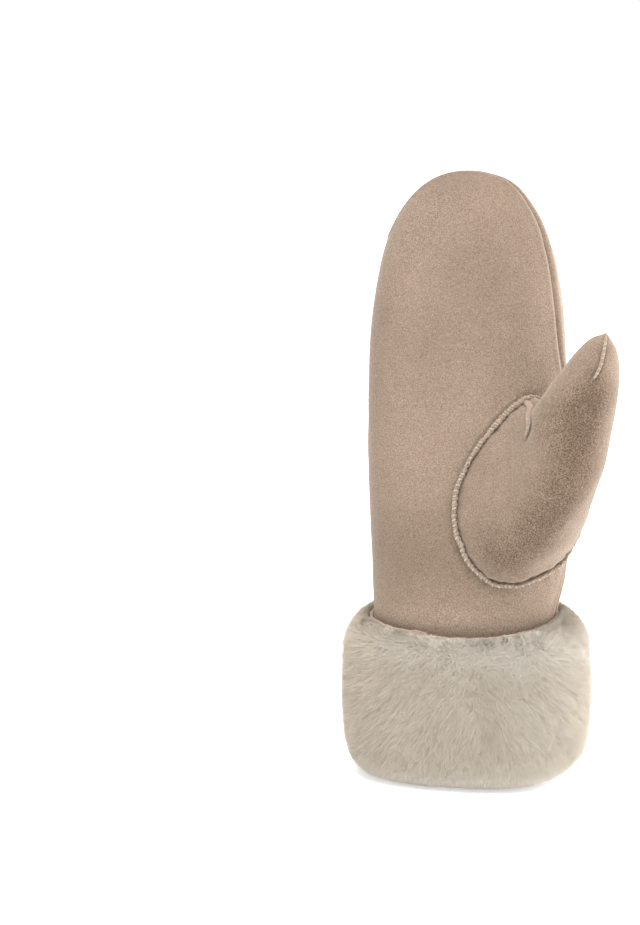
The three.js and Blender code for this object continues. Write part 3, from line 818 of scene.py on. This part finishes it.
def hand_relief(grid, turns):
    """How far the suede of the hand stands out from its plain form."""
    z = grid[..., 2]
    push = 0.7 * noise_at(grid, 46.0, 3.0) + 0.28 * noise_at(grid, 15.0, 9.0)
    push *= np.clip((z - 60) / 30, 0, 1)
    # The sunk closing seam, with a soft ridge beside it.
    seam, _ = nearest(grid, closing_seam_line())
    push += -1.8 * bell(seam, 0.8) + 0.6 * bell(seam - 3.0, 1.6)
    # Gathers round the thumb's base, and a fold along the upper part of its seam.
    ring, where = nearest(grid, base_ring())
    push += gathers(where, (0.3, 41), (0.2, 17)) * bell(ring - 4, 3) - 0.25 * bell(ring, 2.4)
    upper = bell(where / BASE_POINTS * 360 - 40, 26)
    push += upper * (0.25 * bell(ring - 3.4, 1.0) - 0.28 * bell(ring - 5.2, 1.0))
    # The wrist is fuller beside the closing seam, and the skin swells just above the cuff's edge.
    push += 2.2 * (bell(np.degrees(turns), 26)[None, :] * bell(z - 103, 14))
    push += 0.35 * bell(z - cuff_top(turns)[None, :] - 1, 5)
    return push


def thumb_hole():
    """The outline of the hole for the thumb, as places round the hand and heights."""
    at = row_at(LOOPED_BASE, "angle", np.linspace(0, 360, 120, endpoint=False))
    outline = np.stack([blend(LOOPED_BASE, "turn", at), blend(LOOPED_BASE, "z", at)], -1)
    middle = outline.mean(axis=0)
    return middle + (outline - middle) * 0.97


def make_hand():
    turns = hand_columns(260)
    lower = row_at(HAND, "z", np.linspace(MOUTH, 68, 7))
    rows = np.concatenate([lower, hand_rows(230, 70.0, 0.04)])
    grid = hand_at_row(turns[None, :], rows[:, None])
    grid = grid + grid_normals(grid, True) * hand_relief(grid, turns)[..., None]
    inner_rows = hand_rows(40, MOUTH, 2.0)
    inner = hand_at_row(turns[None, :], inner_rows[:, None], -SKIN)
    tips = np.array([[0, 0, LENGTH], [0, 0, LENGTH - SKIN * 1.5]])
    points = np.concatenate([grid.reshape(-1, 3), inner.reshape(-1, 3), tips])
    n = len(turns)
    i = np.arange(n)
    outer_count = len(rows) * n
    top = outer_count + len(inner_rows) * n
    hole = thumb_hole()

    def round_the_hole(quads, row_numbers, first):
        row = (quads[:, 0] - first) // n
        column = np.minimum((quads[:, 0] - first) % n, (quads[:, 1] - first) % n)
        place = np.stack([np.degrees(turns[column]), blend(HAND, "z", row_numbers[row])], axis=-1)
        return quads[~inside(place, hole)]

    outer_quads = round_the_hole(grid_faces(len(rows), n), rows, 0)
    inner_quads = grid_faces(len(inner_rows), n, outer_count, flip=True)
    inner_quads = round_the_hole(inner_quads, inner_rows, outer_count)
    quads = np.concatenate([outer_quads, bridge(i, outer_count + i), inner_quads])
    tris = np.concatenate([fan(outer_count - n + i, top), fan(top - n + i, top + 1, flip=True)])
    indices = np.repeat([0, 1, 0, 1], [len(outer_quads) + n, len(inner_quads), n, n])
    tones = np.tile([0.5, 0.0], (len(points), 1))
    # Painted light and shade on the hand, carried as tones.
    tones[:outer_count, 0] = (0.43 + patches(grid, HAND_PAINTED_SHADING)).ravel()
    return make_object("hand_suede", points, quads, tris, (suede, fleece), indices, tones)


add_piece(make_hand(), "suede", "hand_shell")


# The thumb.

THUMB_ROWS, THUMB_COLUMNS = 170, 160
THUMB_TIP = len(THUMB) - 1.0  # row number of the tip
thumb_angles = round_turn(THUMB_COLUMNS)
thumb_shares = np.linspace(0, 0.985, THUMB_ROWS)
thumb_grid = thumb_point(thumb_angles[None, :], thumb_shares[:, None])
for _ in range(30):  # smoothed where the root and the free end meet
    softened = thumb_grid.copy()
    softened[2:-2] = (thumb_grid[1:-3] + 2 * thumb_grid[2:-2] + thumb_grid[3:-1]) / 4
    weight = bell(thumb_shares - 0.5, 0.16, 4)[:, None, None]
    thumb_grid = thumb_grid + (softened - thumb_grid) * weight
thumb_normals = grid_normals(thumb_grid, True)


def on_thumb(rows, lift=0):
    """Points above the thumb's surface at the places of a table, and the normals there."""
    r = np.interp(rows["along"], thumb_shares, np.arange(THUMB_ROWS))
    c = (np.radians(rows["angle"]) / (2 * math.pi) * THUMB_COLUMNS) % THUMB_COLUMNS
    r0 = np.minimum(r.astype(int), THUMB_ROWS - 2)
    c0 = c.astype(int) % THUMB_COLUMNS
    c1 = (c0 + 1) % THUMB_COLUMNS
    fr = (r - r0)[:, None]
    fc = (c - np.floor(c))[:, None]

    def read(grid):
        low = grid[r0, c0] * (1 - fc) + grid[r0, c1] * fc
        high = grid[r0 + 1, c0] * (1 - fc) + grid[r0 + 1, c1] * fc
        return low * (1 - fr) + high * fr

    normal = unit(read(thumb_normals))
    return read(thumb_grid) + normal * lift, normal


def thumb_line(rows, count, lift=0):
    """A smooth line over the thumb through the places of a table."""
    return smooth_line(on_thumb(rows, lift)[0], count)


def painted_thumb_shading():
    """The thumb's painted light and shade: 0.5 is as on the hand, less is darker, with painted shade in a
    band down the outer side, soft painted patches and a little random tone.
    """
    band_points = 160
    away, where = nearest(thumb_grid, thumb_line(THUMB_SHADE_BAND, band_points))
    at = where / (band_points - 1) * (len(THUMB_SHADE_BAND) - 1)
    depth, width = (np.interp(at, np.arange(len(THUMB_SHADE_BAND)), THUMB_SHADE_BAND[c]) for c in ("depth", "width"))
    painted_tone = 0.39 - depth * bell(away, width) + 0.05 * noise_at(thumb_grid, 6.0, 31.0)
    for middle, r in zip(on_thumb(THUMB_PAINTED_SHADING)[0], THUMB_PAINTED_SHADING):
        painted_tone += r["lighter"] * bell(np.linalg.norm(thumb_grid - middle, axis=-1), r["size"])
    return painted_tone


def thumb_relief():
    """How far the suede of the thumb stands out from its plain form."""
    push = 0.55 * noise_at(thumb_grid, 30.0, 21.0) + 0.25 * noise_at(thumb_grid, 11.0, 5.0)
    push *= np.clip(thumb_shares / 0.08, 0, 1)[:, None]
    ring, where = nearest(thumb_grid, base_ring())
    push += gathers(where, (0.35, 37), (0.25, 15)) * bell(ring - 5, 4) + 0.8 * bell(ring - 6, 4)
    for rows, count, depth, width in (
        (THUMB_DART, 60, 0.9, 2.2),
        (GUSSET_CREASE, 60, 0.4, 1.1),
        (THUMB_SEAM_FRONT, 80, 0.6, 2.0),
        (THUMB_SEAM_BACK, 200, 0.6, 2.0),
    ):
        push -= depth * bell(nearest(thumb_grid, thumb_line(rows, count))[0], width)
    return push


def make_thumb():
    grid = thumb_grid + thumb_normals * thumb_relief()[..., None]
    tips = thumb_frame(np.array([THUMB_TIP - 1, THUMB_TIP]))[0]
    point, outward, inward, _ = base_frame(thumb_angles)
    through = unit(outward + HOLE_WAY)

    def plug(inset):
        """A ring sunk into the hole of the hand."""
        return (point + inward * (GAP + inset) - through * SKIN)[None]

    inner_shares = np.linspace(0, 0.86, 30)
    inner = thumb_point(thumb_angles[None, :], inner_shares[:, None], SKIN)
    free = inner_shares > 0.02
    inner[free] = kept_under(inner[free], skin_tree(grid, tips[1]), 1.2)
    sheet = np.concatenate([inner[::-1], plug(SKIN), plug(0), grid])
    points, quads, tris = closed_grid(sheet, tips)
    inner_faces = (len(inner) + 1) * THUMB_COLUMNS
    counts = [inner_faces, len(quads) - inner_faces, THUMB_COLUMNS, THUMB_COLUMNS]
    # Painted light and shade on the thumb, carried as tones; the second tone is how deep the painted shade
    # is.
    painted_tone = painted_thumb_shading().ravel()
    outer = slice(len(points) - 2 - len(painted_tone), len(points) - 2)
    tones = np.tile([0.5, 0.0], (len(points), 1))
    tones[outer, 0] = painted_tone
    tones[outer, 1] = np.clip((0.42 - painted_tone) / 0.32, 0, 1)
    return make_object(
        "thumb_suede", points, quads, tris, (suede, fleece), np.repeat([1, 0, 1, 0], counts), tones
    )


add_piece(make_thumb(), "suede", "thumb_shell")


# The raised seams and their stitches.


def rope(line, outs, radius, closed, pitch, strength, ends=None):
    """A ridge that is pinched slantwise at every stitch."""
    sides = 12
    length = lengths_to(line)
    total = length[-1] + (np.linalg.norm(line[0] - line[-1]) if closed else 0)
    times = max(round(total / pitch), 1)
    phase = length / total * times * 2 * math.pi
    lobes = 1 + strength * np.cos(phase[:, None] - 0.9 * np.sin(round_turn(sides))[None, :])
    size = np.broadcast_to(radius, len(line))[:, None] * lobes
    if ends is not None:
        size = size * ends(length / total)[:, None]
    return tube(line, outs, size, sides, closed)


def whip(line, outs, radius, closed, pitch, thick, hidden, seed):
    """Slanting stitches over a ridge; radius and the share that the nap hides differ by point."""
    reach, slant, sides = 52.0, 0.2, 6
    rng = np.random.default_rng(seed)
    along, out, side = line_frames(line, outs, closed)
    length = lengths_to(line)
    total = length[-1]
    count = max(round(total / pitch), 1)
    made = []
    for k in range(count):
        i = int(np.searchsorted(length, (k + 0.5 + rng.normal(0, 0.08)) / count * total))
        i = min(i, len(line) - 1)
        size = rng.uniform(0.85, 1.05)
        fat = thick * rng.uniform(0.8, 1.15)
        turned = rng.normal(0, 9)
        if rng.random() < hidden[i]:
            continue
        phi = np.radians(np.linspace(-reach, reach, 7) * size + turned)
        arc = np.cos(phi)[:, None] * out[i] + np.sin(phi)[:, None] * side[i]
        shift = (np.sin(phi) * slant * pitch)[:, None] * along[i]
        path = line[i] + arc * (radius[i] * 0.98 + fat * 0.3) + shift
        ends = fat * np.array([0.6, 0.9, 1.0, 1.0, 1.0, 0.9, 0.6])
        made.append(tube(path, arc, np.repeat(ends[:, None], sides, axis=1), sides, False))
    return joined(made)


def base_seam_line():
    """The line of the seam round the thumb's base, its ways out, and places round the thumb."""
    angles = round_turn(400)
    point, outward, inward, leave = base_frame(angles)
    away = -inward
    corner = np.arccos(np.clip(np.sum(away * leave, axis=-1), -1, 1))
    reach = (SEAM_RADIUS + GAP + 0.1) / np.sin(corner / 2)
    out = unit(away + leave)
    centre = point + out * reach[:, None] + inward * GAP / 2
    line = smooth_line(centre[::8], 1100, closed=True)
    _, where = nearest(line, centre)
    degrees = np.degrees(angles[where])
    sunk = np.interp(degrees, [0, 8, 18, 330, 345, 360], [1.6, 0.9, 0, 0, 1.2, 1.6])[:, None]
    line = line + inward[where] * 0.55 - out[where] * sunk
    line = line + 0.45 * noise_ways(line, 7.0, 3.0) + 0.16 * noise_ways(line, 2.4, 5.0)
    return line, out[where], degrees


def add_seam(name, node, ridge, stitches=None):
    add_piece(make_object(f"{name}_welt", *ridge, (ridge_suede,)), "stitched_seam", node)
    if stitches:
        add_piece(make_object(f"{name}_stitches", *stitches, (thread,)), "stitched_seam")


base_line, base_outs, base_degrees = base_seam_line()
base_radius = np.interp(base_degrees, BASE_WELT["angle"], BASE_WELT["radius"])
base_radius = base_radius * (1 + 0.26 * noise_at(base_line, 2.6, 8.0))
base_hidden = np.interp(base_degrees, BASE_WELT["angle"], BASE_WELT["hidden"])
base_seam = (base_line, base_outs, base_radius, True, STITCH_PITCH)
add_seam("thumb_base", "thumb_base_seam", rope(*base_seam, 0.18), whip(*base_seam, 0.42, base_hidden, 1))


def make_thread_ends():
    """Two loose ends of the thread, where the base seam meets the thumb's crotch."""
    made = []
    for angle, length, curl in ((12, 3.2, -1.3), (18, 2.2, 1.1)):
        i = int(np.argmin(np.abs(base_degrees - angle)))
        along, out, side = (v[i] for v in line_frames(base_line, base_outs, True))
        s = np.linspace(0, 1, 14)[:, None]
        bend = s * curl
        path = base_line[i] + out * (base_radius[i] * 0.9 + length * 0.3 * s)
        path = path + length * (0.7 * np.sin(bend) * side - 0.6 * (1 - np.cos(bend)) * along)
        made.append(tube(path, np.broadcast_to(out, path.shape), 0.17, 6, False))
    return make_object("thumb_thread_ends", *joined(made), (thread,))


add_piece(make_thread_ends(), "stitched_seam")


def normals_under(line):
    """The thumb's normals nearest to a line's points."""
    flat = thumb_normals.reshape(-1, 3)
    return flat[nearest(line, thumb_grid.reshape(-1, 3))[1]]


def add_side_seam():
    """The thumb's own seam, up its back, over the tip and down the front."""
    count, lift = 420, 0.5
    tip, tip_axis, _, _ = thumb_frame(np.array([THUMB_TIP]))
    back, front = on_thumb(THUMB_SEAM_BACK, lift)[0], on_thumb(THUMB_SEAM_FRONT, 0.1)[0]
    line = smooth_line(np.concatenate([back, tip - tip_axis * 0.5, front]), count)
    share = np.linspace(0, 1, count)
    lifts = np.interp(share, [0.55, 0.7], [lift, 0.3]) - 0.7 * bell(np.linalg.norm(line - tip, axis=1), 6)
    tree = skin_tree(thumb_grid, tip[0])
    for _ in range(3):
        line = smooth_line(laid_on(line, tree, lifts)[::6], count)
    at_tip = bell(np.linalg.norm(line - tip, axis=1), 5)
    outs = unit(normals_under(line) + 0.001)
    outs = unit(outs * (1 - at_tip[:, None]) + tip_axis * at_tip[:, None])
    radius = 1.15 * np.interp(share, [0, 0.55, 0.7, 0.97, 1], [1, 1, 0.75, 0.7, 0.3])
    radius = radius * (1 + 0.18 * noise_at(line, 3.0, 12.0)) * (1 - 0.5 * at_tip)
    stitches = whip(line, outs, radius, False, STITCH_PITCH * 0.8, 0.24, 0.05 + 0.6 * at_tip, 2)
    add_seam("thumb_side", "thumb_side_seam", rope(line, outs, radius, False, STITCH_PITCH, 0.06), stitches)


def add_dart_seam():
    """The short dart that leaves the base seam, thick at its start and thin at its end."""
    line = thumb_line(THUMB_DART, 90, SEAM_RADIUS * 0.3)
    for _ in range(160):  # smoothed between its ends
        line[1:-1] = (line[:-2] + 2 * line[1:-1] + line[2:]) / 4
    ridge = rope(line, normals_under(line), 1.6, False, STITCH_PITCH, 0.02, lambda t: 1 - 0.75 * t**3)
    add_seam("thumb_dart", "thumb_dart_seam", ridge)


add_side_seam()
add_dart_seam()


# The cut edge of the cuff's skin.


def make_raw_edge():
    turns = round_turn(520)
    rim = hand_point(turns, cuff_top(turns))
    x = rim[:, 0]
    wobble = 0.6 * noise_at(rim, 6.0, 2.0) + 0.35 * noise_at(rim, 2.0, 4.0)
    notch = 1.6 * bell(x + 19, 6) * np.clip(-np.sin(turns) * 4, 0, 1) * (x < -14.5)
    top = cuff_top(turns) + 0.4 + wobble + notch
    inner_face = [(0.4, 40), (0.4, 14), (0.45, 4), (0.6, 0.7), (1.0, 0.1)]
    profile = table("out down", inner_face + [(1.6, 0), (2.1, 0.4), (2.3, 2), (2.2, 14), (2.0, 40)])
    grid = np.array([hand_point(turns, top - r["down"], r["out"]) for r in profile])
    fray = noise_at(grid, 1.6, 7.0)[..., None] * 0.35
    grid[2:-1] += fray[2:-1] * grid_normals(grid, True)[2:-1]
    count = len(turns)
    i = np.arange(count)
    quads = [grid_faces(len(grid), count, flip=True), bridge(i, (len(grid) - 1) * count + i)]
    return make_object("cuff_raw_edge", grid, np.concatenate(quads), None, (raw_suede,))


add_piece(make_raw_edge(), "raw_edge", "cuff_band")


# The fur.

FUR_PIECES = 4
STRANDS_PER_PIECE = 150000
CLUMPS = 7600
FUR_LENGTH = 8.8
FUR_INSET = 4.9
LEAST_HEIGHT = 0.25  # of a strand's ends above the floor
STRAY_SHARE = 0.05
FUR_FOOT_ROW = 12

# How deep the strands' roots lie and how long the strands are, by row of the fur's outer face.
FUR_DEPTH = table("row inset length", [
    (0, 0.3, 0.2),
    (1, 0.8, 0.35),
    (2, 1.8, 0.6),
    (3, 3.2, 0.85),
    (4, FUR_INSET, 1.0),
    (FUR_FOOT_ROW - 2, 3.6, 0.6),
    (FUR_FOOT_ROW, 1.2, 0.22),
    (FUR_FOOT_ROW + 2, 1.5, 0.5),
    (FUR_FOOT_ROW + 5, 0.5, 0.5),
])

# Where the fur is combed apart on the palm and on the back, and which side each is on.
WHORLS = table("x y z side", [(9, -42, 50, -1), (-8, 43, 56, 1)])


def fur_point(turn, row):
    share, z, out, side, thumb = (blend(FUR, c, row) for c in FUR.dtype.names)
    height = cuff_top(turn) * share + side * np.cos(turn) ** 4 + z
    out = out + thumb * np.maximum(np.cos(turn), 0) ** 3
    return hand_point(turn, np.maximum(height, 0), out)


def fur_frames(turn, row):
    """Point of the fur's face, its normal, and the way down its profile."""
    below, above = np.minimum(row + 0.05, len(FUR) - 1), np.maximum(row - 0.05, 0)
    down = unit(fur_point(turn, below) - fur_point(turn, above))
    round_way = unit(fur_point(turn + 0.01, row) - fur_point(turn - 0.01, row))
    return fur_point(turn, row), unit(np.cross(down, round_way)), down


def fur_depth(row, column):
    return np.interp(row, FUR_DEPTH["row"], FUR_DEPTH[column])


def make_fur_body():
    count = 220
    rows = np.linspace(0, len(FUR) - 1, 90)
    p, normal, _ = fur_frames(*np.broadcast_arrays(round_turn(count)[None, :], rows[:, None]))
    grid = p - normal * fur_depth(rows, "inset")[:, None, None]
    grid[..., 2] = np.maximum(grid[..., 2], 0.6)
    tones = np.tile([0.6, 0.7], (grid.size // 3, 1))
    return make_object("fur_body", grid, grid_faces(len(rows), count, flip=True), None, (fur,), tones=tones)


def fur_roots(count, rng):
    """Evenly scattered places on the fur's face, thinner on the foot and inside the mouth."""
    turns = np.linspace(0, 2 * math.pi, 241)
    rows = np.linspace(0, len(FUR) - 1, 161)
    grid = fur_point(turns[None, :], rows[:, None])
    across = np.linalg.norm(np.diff(grid, axis=1)[:-1], axis=-1)
    down = np.linalg.norm(np.diff(grid, axis=0)[:, :-1], axis=-1)
    middle = (rows[1:] + rows[:-1]) / 2
    kinds = [0, 1, FUR_FOOT_ROW - 1, FUR_FOOT_ROW + 0.5, 14, 18]
    share = np.interp(middle, kinds, [1.3, 1.1, 1.0, 0.3, 0.5, 0.3])
    chance = (across * down * share[:, None]).ravel()
    cells = rng.choice(chance.size, count, p=chance / chance.sum())
    r, c = np.divmod(cells, across.shape[1])
    row = rows[r] + rng.random(count) * (rows[1] - rows[0])
    turn = turns[c] + rng.random(count) * (turns[1] - turns[0])
    return turn, row


def from_whorls(p, normal):
    """Ways along the fur's face from the two whorls, fading at the sides, and how far the nearer is."""
    radial = np.zeros(p.shape)
    distance = np.full((len(p), 1), np.inf)
    for r in WHORLS:
        way = p - np.array([r["x"], r["y"], r["z"]])
        distance = np.minimum(distance, np.linalg.norm(way, axis=1, keepdims=True))
        radial += squared(way, normal) * np.clip(0.5 + r["side"] * p[:, 1:2] / 40, 0, 1)
    return radial, distance


def make_fur():
    """Each strand is one thin triangle; those of a clump share a way, a size and a tone."""
    rng = np.random.default_rng(11)
    total = FUR_PIECES * STRANDS_PER_PIECE
    turn, row = fur_roots(total, rng)
    p, normal, down = fur_frames(turn, row)
    root = p - normal * fur_depth(row, "inset")[:, None]

    clump_turn, clump_row = fur_roots(CLUMPS, rng)
    clump = fur_frames(clump_turn, clump_row)[0]
    which = nearest(p, clump)[1]
    swirl = 0.55 * noise_ways(clump, 20.0, 13.0) + 0.36 * noise_ways(clump, 6.0, 17.0)
    swirl *= np.interp(clump_row, [2, 5], [0.5, 1])[:, None]
    swirl += rng.normal(0, 0.14, (CLUMPS, 3))
    swell = 0.7 * noise_at(clump, 17.0, 4.0) + 0.5 * noise_at(clump, 7.0, 8.0)
    clump_size = (1 + 0.04 * swell + rng.normal(0, 0.03, CLUMPS))[which]
    # Each clump's tone: random, plus painted light and shade in patches, strongest on the palm side.
    clump_tone_and_shading = 0.47 + 0.16 * noise_at(clump, 18.0, 6.0) + 0.14 * noise_at(clump, 5.5, 1.0)
    clump_tone_and_shading += patches(clump, FUR_PAINTED_SHADING) * np.clip(0.5 - clump[:, 1] / 30, 0.25, 1)

    # The strands lie down the cuff and away from the whorls, and turn up along the top.
    radial, distance = from_whorls(p, normal)
    outside = np.clip((FUR_FOOT_ROW - 2.5 - row) / 3, 0, 1)[:, None]
    top = np.clip((3.2 - row) / 2.2, 0, 1)[:, None]
    steady = 1 - np.linalg.norm(radial, axis=1, keepdims=True)
    combed = down * (0.62 + 0.6 * steady) * (1 - 0.5 * top)
    combed = combed + radial * outside * np.clip(distance / 46, 0.05, 0.4) * (1 - top)
    combed[:, 2] += 0.4 * top[:, 0]
    flow = combed + swirl[which] * (1 - 0.55 * steady) + rng.normal(0, 0.2, p.shape)
    flow = squared(flow, normal)

    # At the two sides of the cuff's edge short strands stand up and cover it.
    cover = np.cos(turn) ** 4 * np.clip(2.6 - row, 0, 1)
    stray = rng.random(total) < STRAY_SHARE
    short = fur_depth(row, "length")
    short = short + (0.4 - short) * cover
    long = FUR_LENGTH * clump_size * rng.uniform(0.75, 1.08, total) * short * np.where(stray, 1.25, 1)
    lean = rng.normal(np.interp(row, [1, 2.5], [52, 50]), 8) * (1 - 0.6 * cover) - np.where(stray, 16, 0)
    lean = np.radians(np.clip(lean, 5, 80))[:, None]
    way = normal * np.cos(lean) + flow * np.sin(lean)
    to_clump = (clump[which] - p) * (0.05 * rng.uniform(0.4, 1.2, total))[:, None]
    tip = root + way * long[:, None] + to_clump
    for end in (root, tip):
        end[:, 2] = np.maximum(end[:, 2], LEAST_HEIGHT)
    facing = unit(np.cross(flow, normal) + rng.normal(0, 0.2, p.shape)) * np.where(stray, 0.12, 0.18)[:, None]
    points = np.stack([root + facing, root - facing, tip], axis=1)
    tone = np.clip(clump_tone_and_shading[which] + rng.normal(0, 0.04, total), 0, 1)
    for piece in range(FUR_PIECES):
        part = slice(piece, None, FUR_PIECES)
        tris = np.arange(STRANDS_PER_PIECE * 3).reshape(-1, 3)
        tones = np.stack([np.repeat(tone[part], 3), np.tile([0, 0, 1.0], STRANDS_PER_PIECE)], axis=-1)
        name = f"fur_strands_{piece + 1}"
        add_piece(make_object(name, points[part], None, tris, (fur,), tones=tones), "fur")


add_piece(make_fur_body(), "fur", "fur_cuff")
make_fur()


# The disc on the back of the cuff.


def make_disc():
    sides = 72
    turn = math.radians(DISC_TURN)
    face = hand_normal(np.array(turn), np.array(DISC_HEIGHT))
    rising = FUR[: FUR_FOOT_ROW - 1][::-1]
    share = DISC_HEIGHT / CUFF_SIDE_TOP
    out = blend(rising, "out", np.array(row_at(rising, "share", share))) + 1.2
    centre = hand_point(turn, cuff_top(turn) * share, out)
    x = unit(np.cross([0, 0, 1], face))
    y = np.cross(face, x)
    side = [(5.0, 0), (DISC_RADIUS, 0.3), (DISC_RADIUS, 1.1), (4.95, 1.5)]
    raised_rim = [(4.6, 1.75), (4.2, 1.78), (4.0, 1.6), (3.8, 1.5), (1.0, 1.5)]
    profile = table("radius lift", side + raised_rim)
    phi = round_turn(sides)
    ring = np.cos(phi)[:, None] * x + np.sin(phi)[:, None] * y
    grid = np.array([centre + ring * r["radius"] + face * r["lift"] for r in profile])
    return make_object("cuff_plain_disc", *closed_grid(grid, [centre, centre + face * 1.5]), (metal,))


add_piece(make_disc(), "disc", "cuff_disc")


# Floor, light and camera.

CAMERA_AZIMUTH, CAMERA_ELEVATION = 8.0, 10.0
CAMERA_DISTANCE = 1.3
CAMERA_LENS, SENSOR = 100.0, 36.0
PICTURE = (640, 925)
PLACE = (480.1, 478.0)  # where the part's middle is in the picture
WORLD_LIGHT, WORLD_WHITE = 0.4, 1.05  # what lights the part, and what the camera sees behind it


def direction(azimuth, elevation):
    """The way from the part to a lamp or camera, by angles in degrees; azimuth 0 faces the palm."""
    a, e = math.radians(azimuth), math.radians(elevation)
    return Vector((math.sin(a) * math.cos(e), -math.cos(a) * math.cos(e), math.sin(e)))


def placed_object(name, data):
    obj = bpy.data.objects.new(name, data)
    bpy.context.collection.objects.link(obj)
    return obj


def make_floor():
    s = Surface("studio_floor")
    material = s.finished({
        "Base Color": (0.98, 0.98, 0.975),
        "Roughness": 0.9,
        "Specular IOR Level": 0.0,
        "Emission Color": (1, 1, 1),
        "Emission Strength": 0.5,
    })
    bpy.ops.mesh.primitive_plane_add(size=120, location=(0, 0, 0))
    floor = bpy.context.object
    floor.name = "studio_floor"
    floor.data.materials.append(material)


def make_world():
    world = bpy.data.worlds.new("studio")
    world.use_nodes = True
    nodes, links = world.node_tree.nodes, world.node_tree.links
    seen = nodes.new("ShaderNodeLightPath")
    strength = nodes.new("ShaderNodeMix")
    strength.inputs["A"].default_value = WORLD_LIGHT
    strength.inputs["B"].default_value = WORLD_WHITE
    links.new(seen.outputs["Is Camera Ray"], strength.inputs["Factor"])
    links.new(strength.outputs["Result"], nodes["Background"].inputs["Strength"])
    nodes["Background"].inputs["Color"].default_value = (1, 1, 1, 1)
    bpy.context.scene.world = world
    bpy.context.scene.view_settings.view_transform = "Standard"


def overhead_light():
    data = bpy.data.lights.new("overhead", "SUN")
    data.energy = 2.0
    data.angle = math.radians(75)
    placed_object("overhead", data).rotation_euler = (math.radians(-8), 0, 0)


def area_light(name, azimuth, elevation, distance, size, power):
    data = bpy.data.lights.new(name, "AREA")
    data.shape = "DISK"
    data.size = size
    data.energy = power
    lamp = placed_object(name, data)
    way = direction(azimuth, elevation)
    lamp.location = way * distance + Vector((0, 0, 0.15))
    lamp.rotation_euler = way.to_track_quat("Z", "Y").to_euler()


def make_camera():
    """The camera at the photograph's angle, aimed so that the part's middle falls on its place."""
    data = bpy.data.cameras.new("camera")
    data.lens = CAMERA_LENS
    data.sensor_width = SENSOR
    data.clip_end = 100
    camera = placed_object("camera", data)
    low, high = (Vector(v) for v in cad_box)
    target = (low + high) / 2
    camera.location = target + direction(CAMERA_AZIMUTH, CAMERA_ELEVATION) * CAMERA_DISTANCE
    look = (target - camera.location).normalized()
    right = look.cross(Vector((0, 0, 1))).normalized()
    up = right.cross(look)
    pixels = max(PICTURE) * CAMERA_LENS / SENSOR
    across, below = ((place - size / 2) / pixels for place, size in zip(PLACE, PICTURE))
    aim = (look - right * across + up * below).normalized()
    camera.rotation_euler = aim.to_track_quat("-Z", "Y").to_euler()
    bpy.context.scene.camera = camera


make_floor()
make_world()
overhead_light()
area_light("key", 5, 62, 1.15, 0.8, 16)
area_light("left_front", -60, 30, 1.3, 0.8, 2.6)
area_light("right_rim", 122, 16, 1.3, 0.8, 22)
area_light("right_side", 76, 12, 1.4, 0.8, 3.5)
area_light("left_side", -100, 15, 1.4, 0.8, 0.8)
area_light("back", 180, 55, 1.3, 1.0, 5)
make_camera()
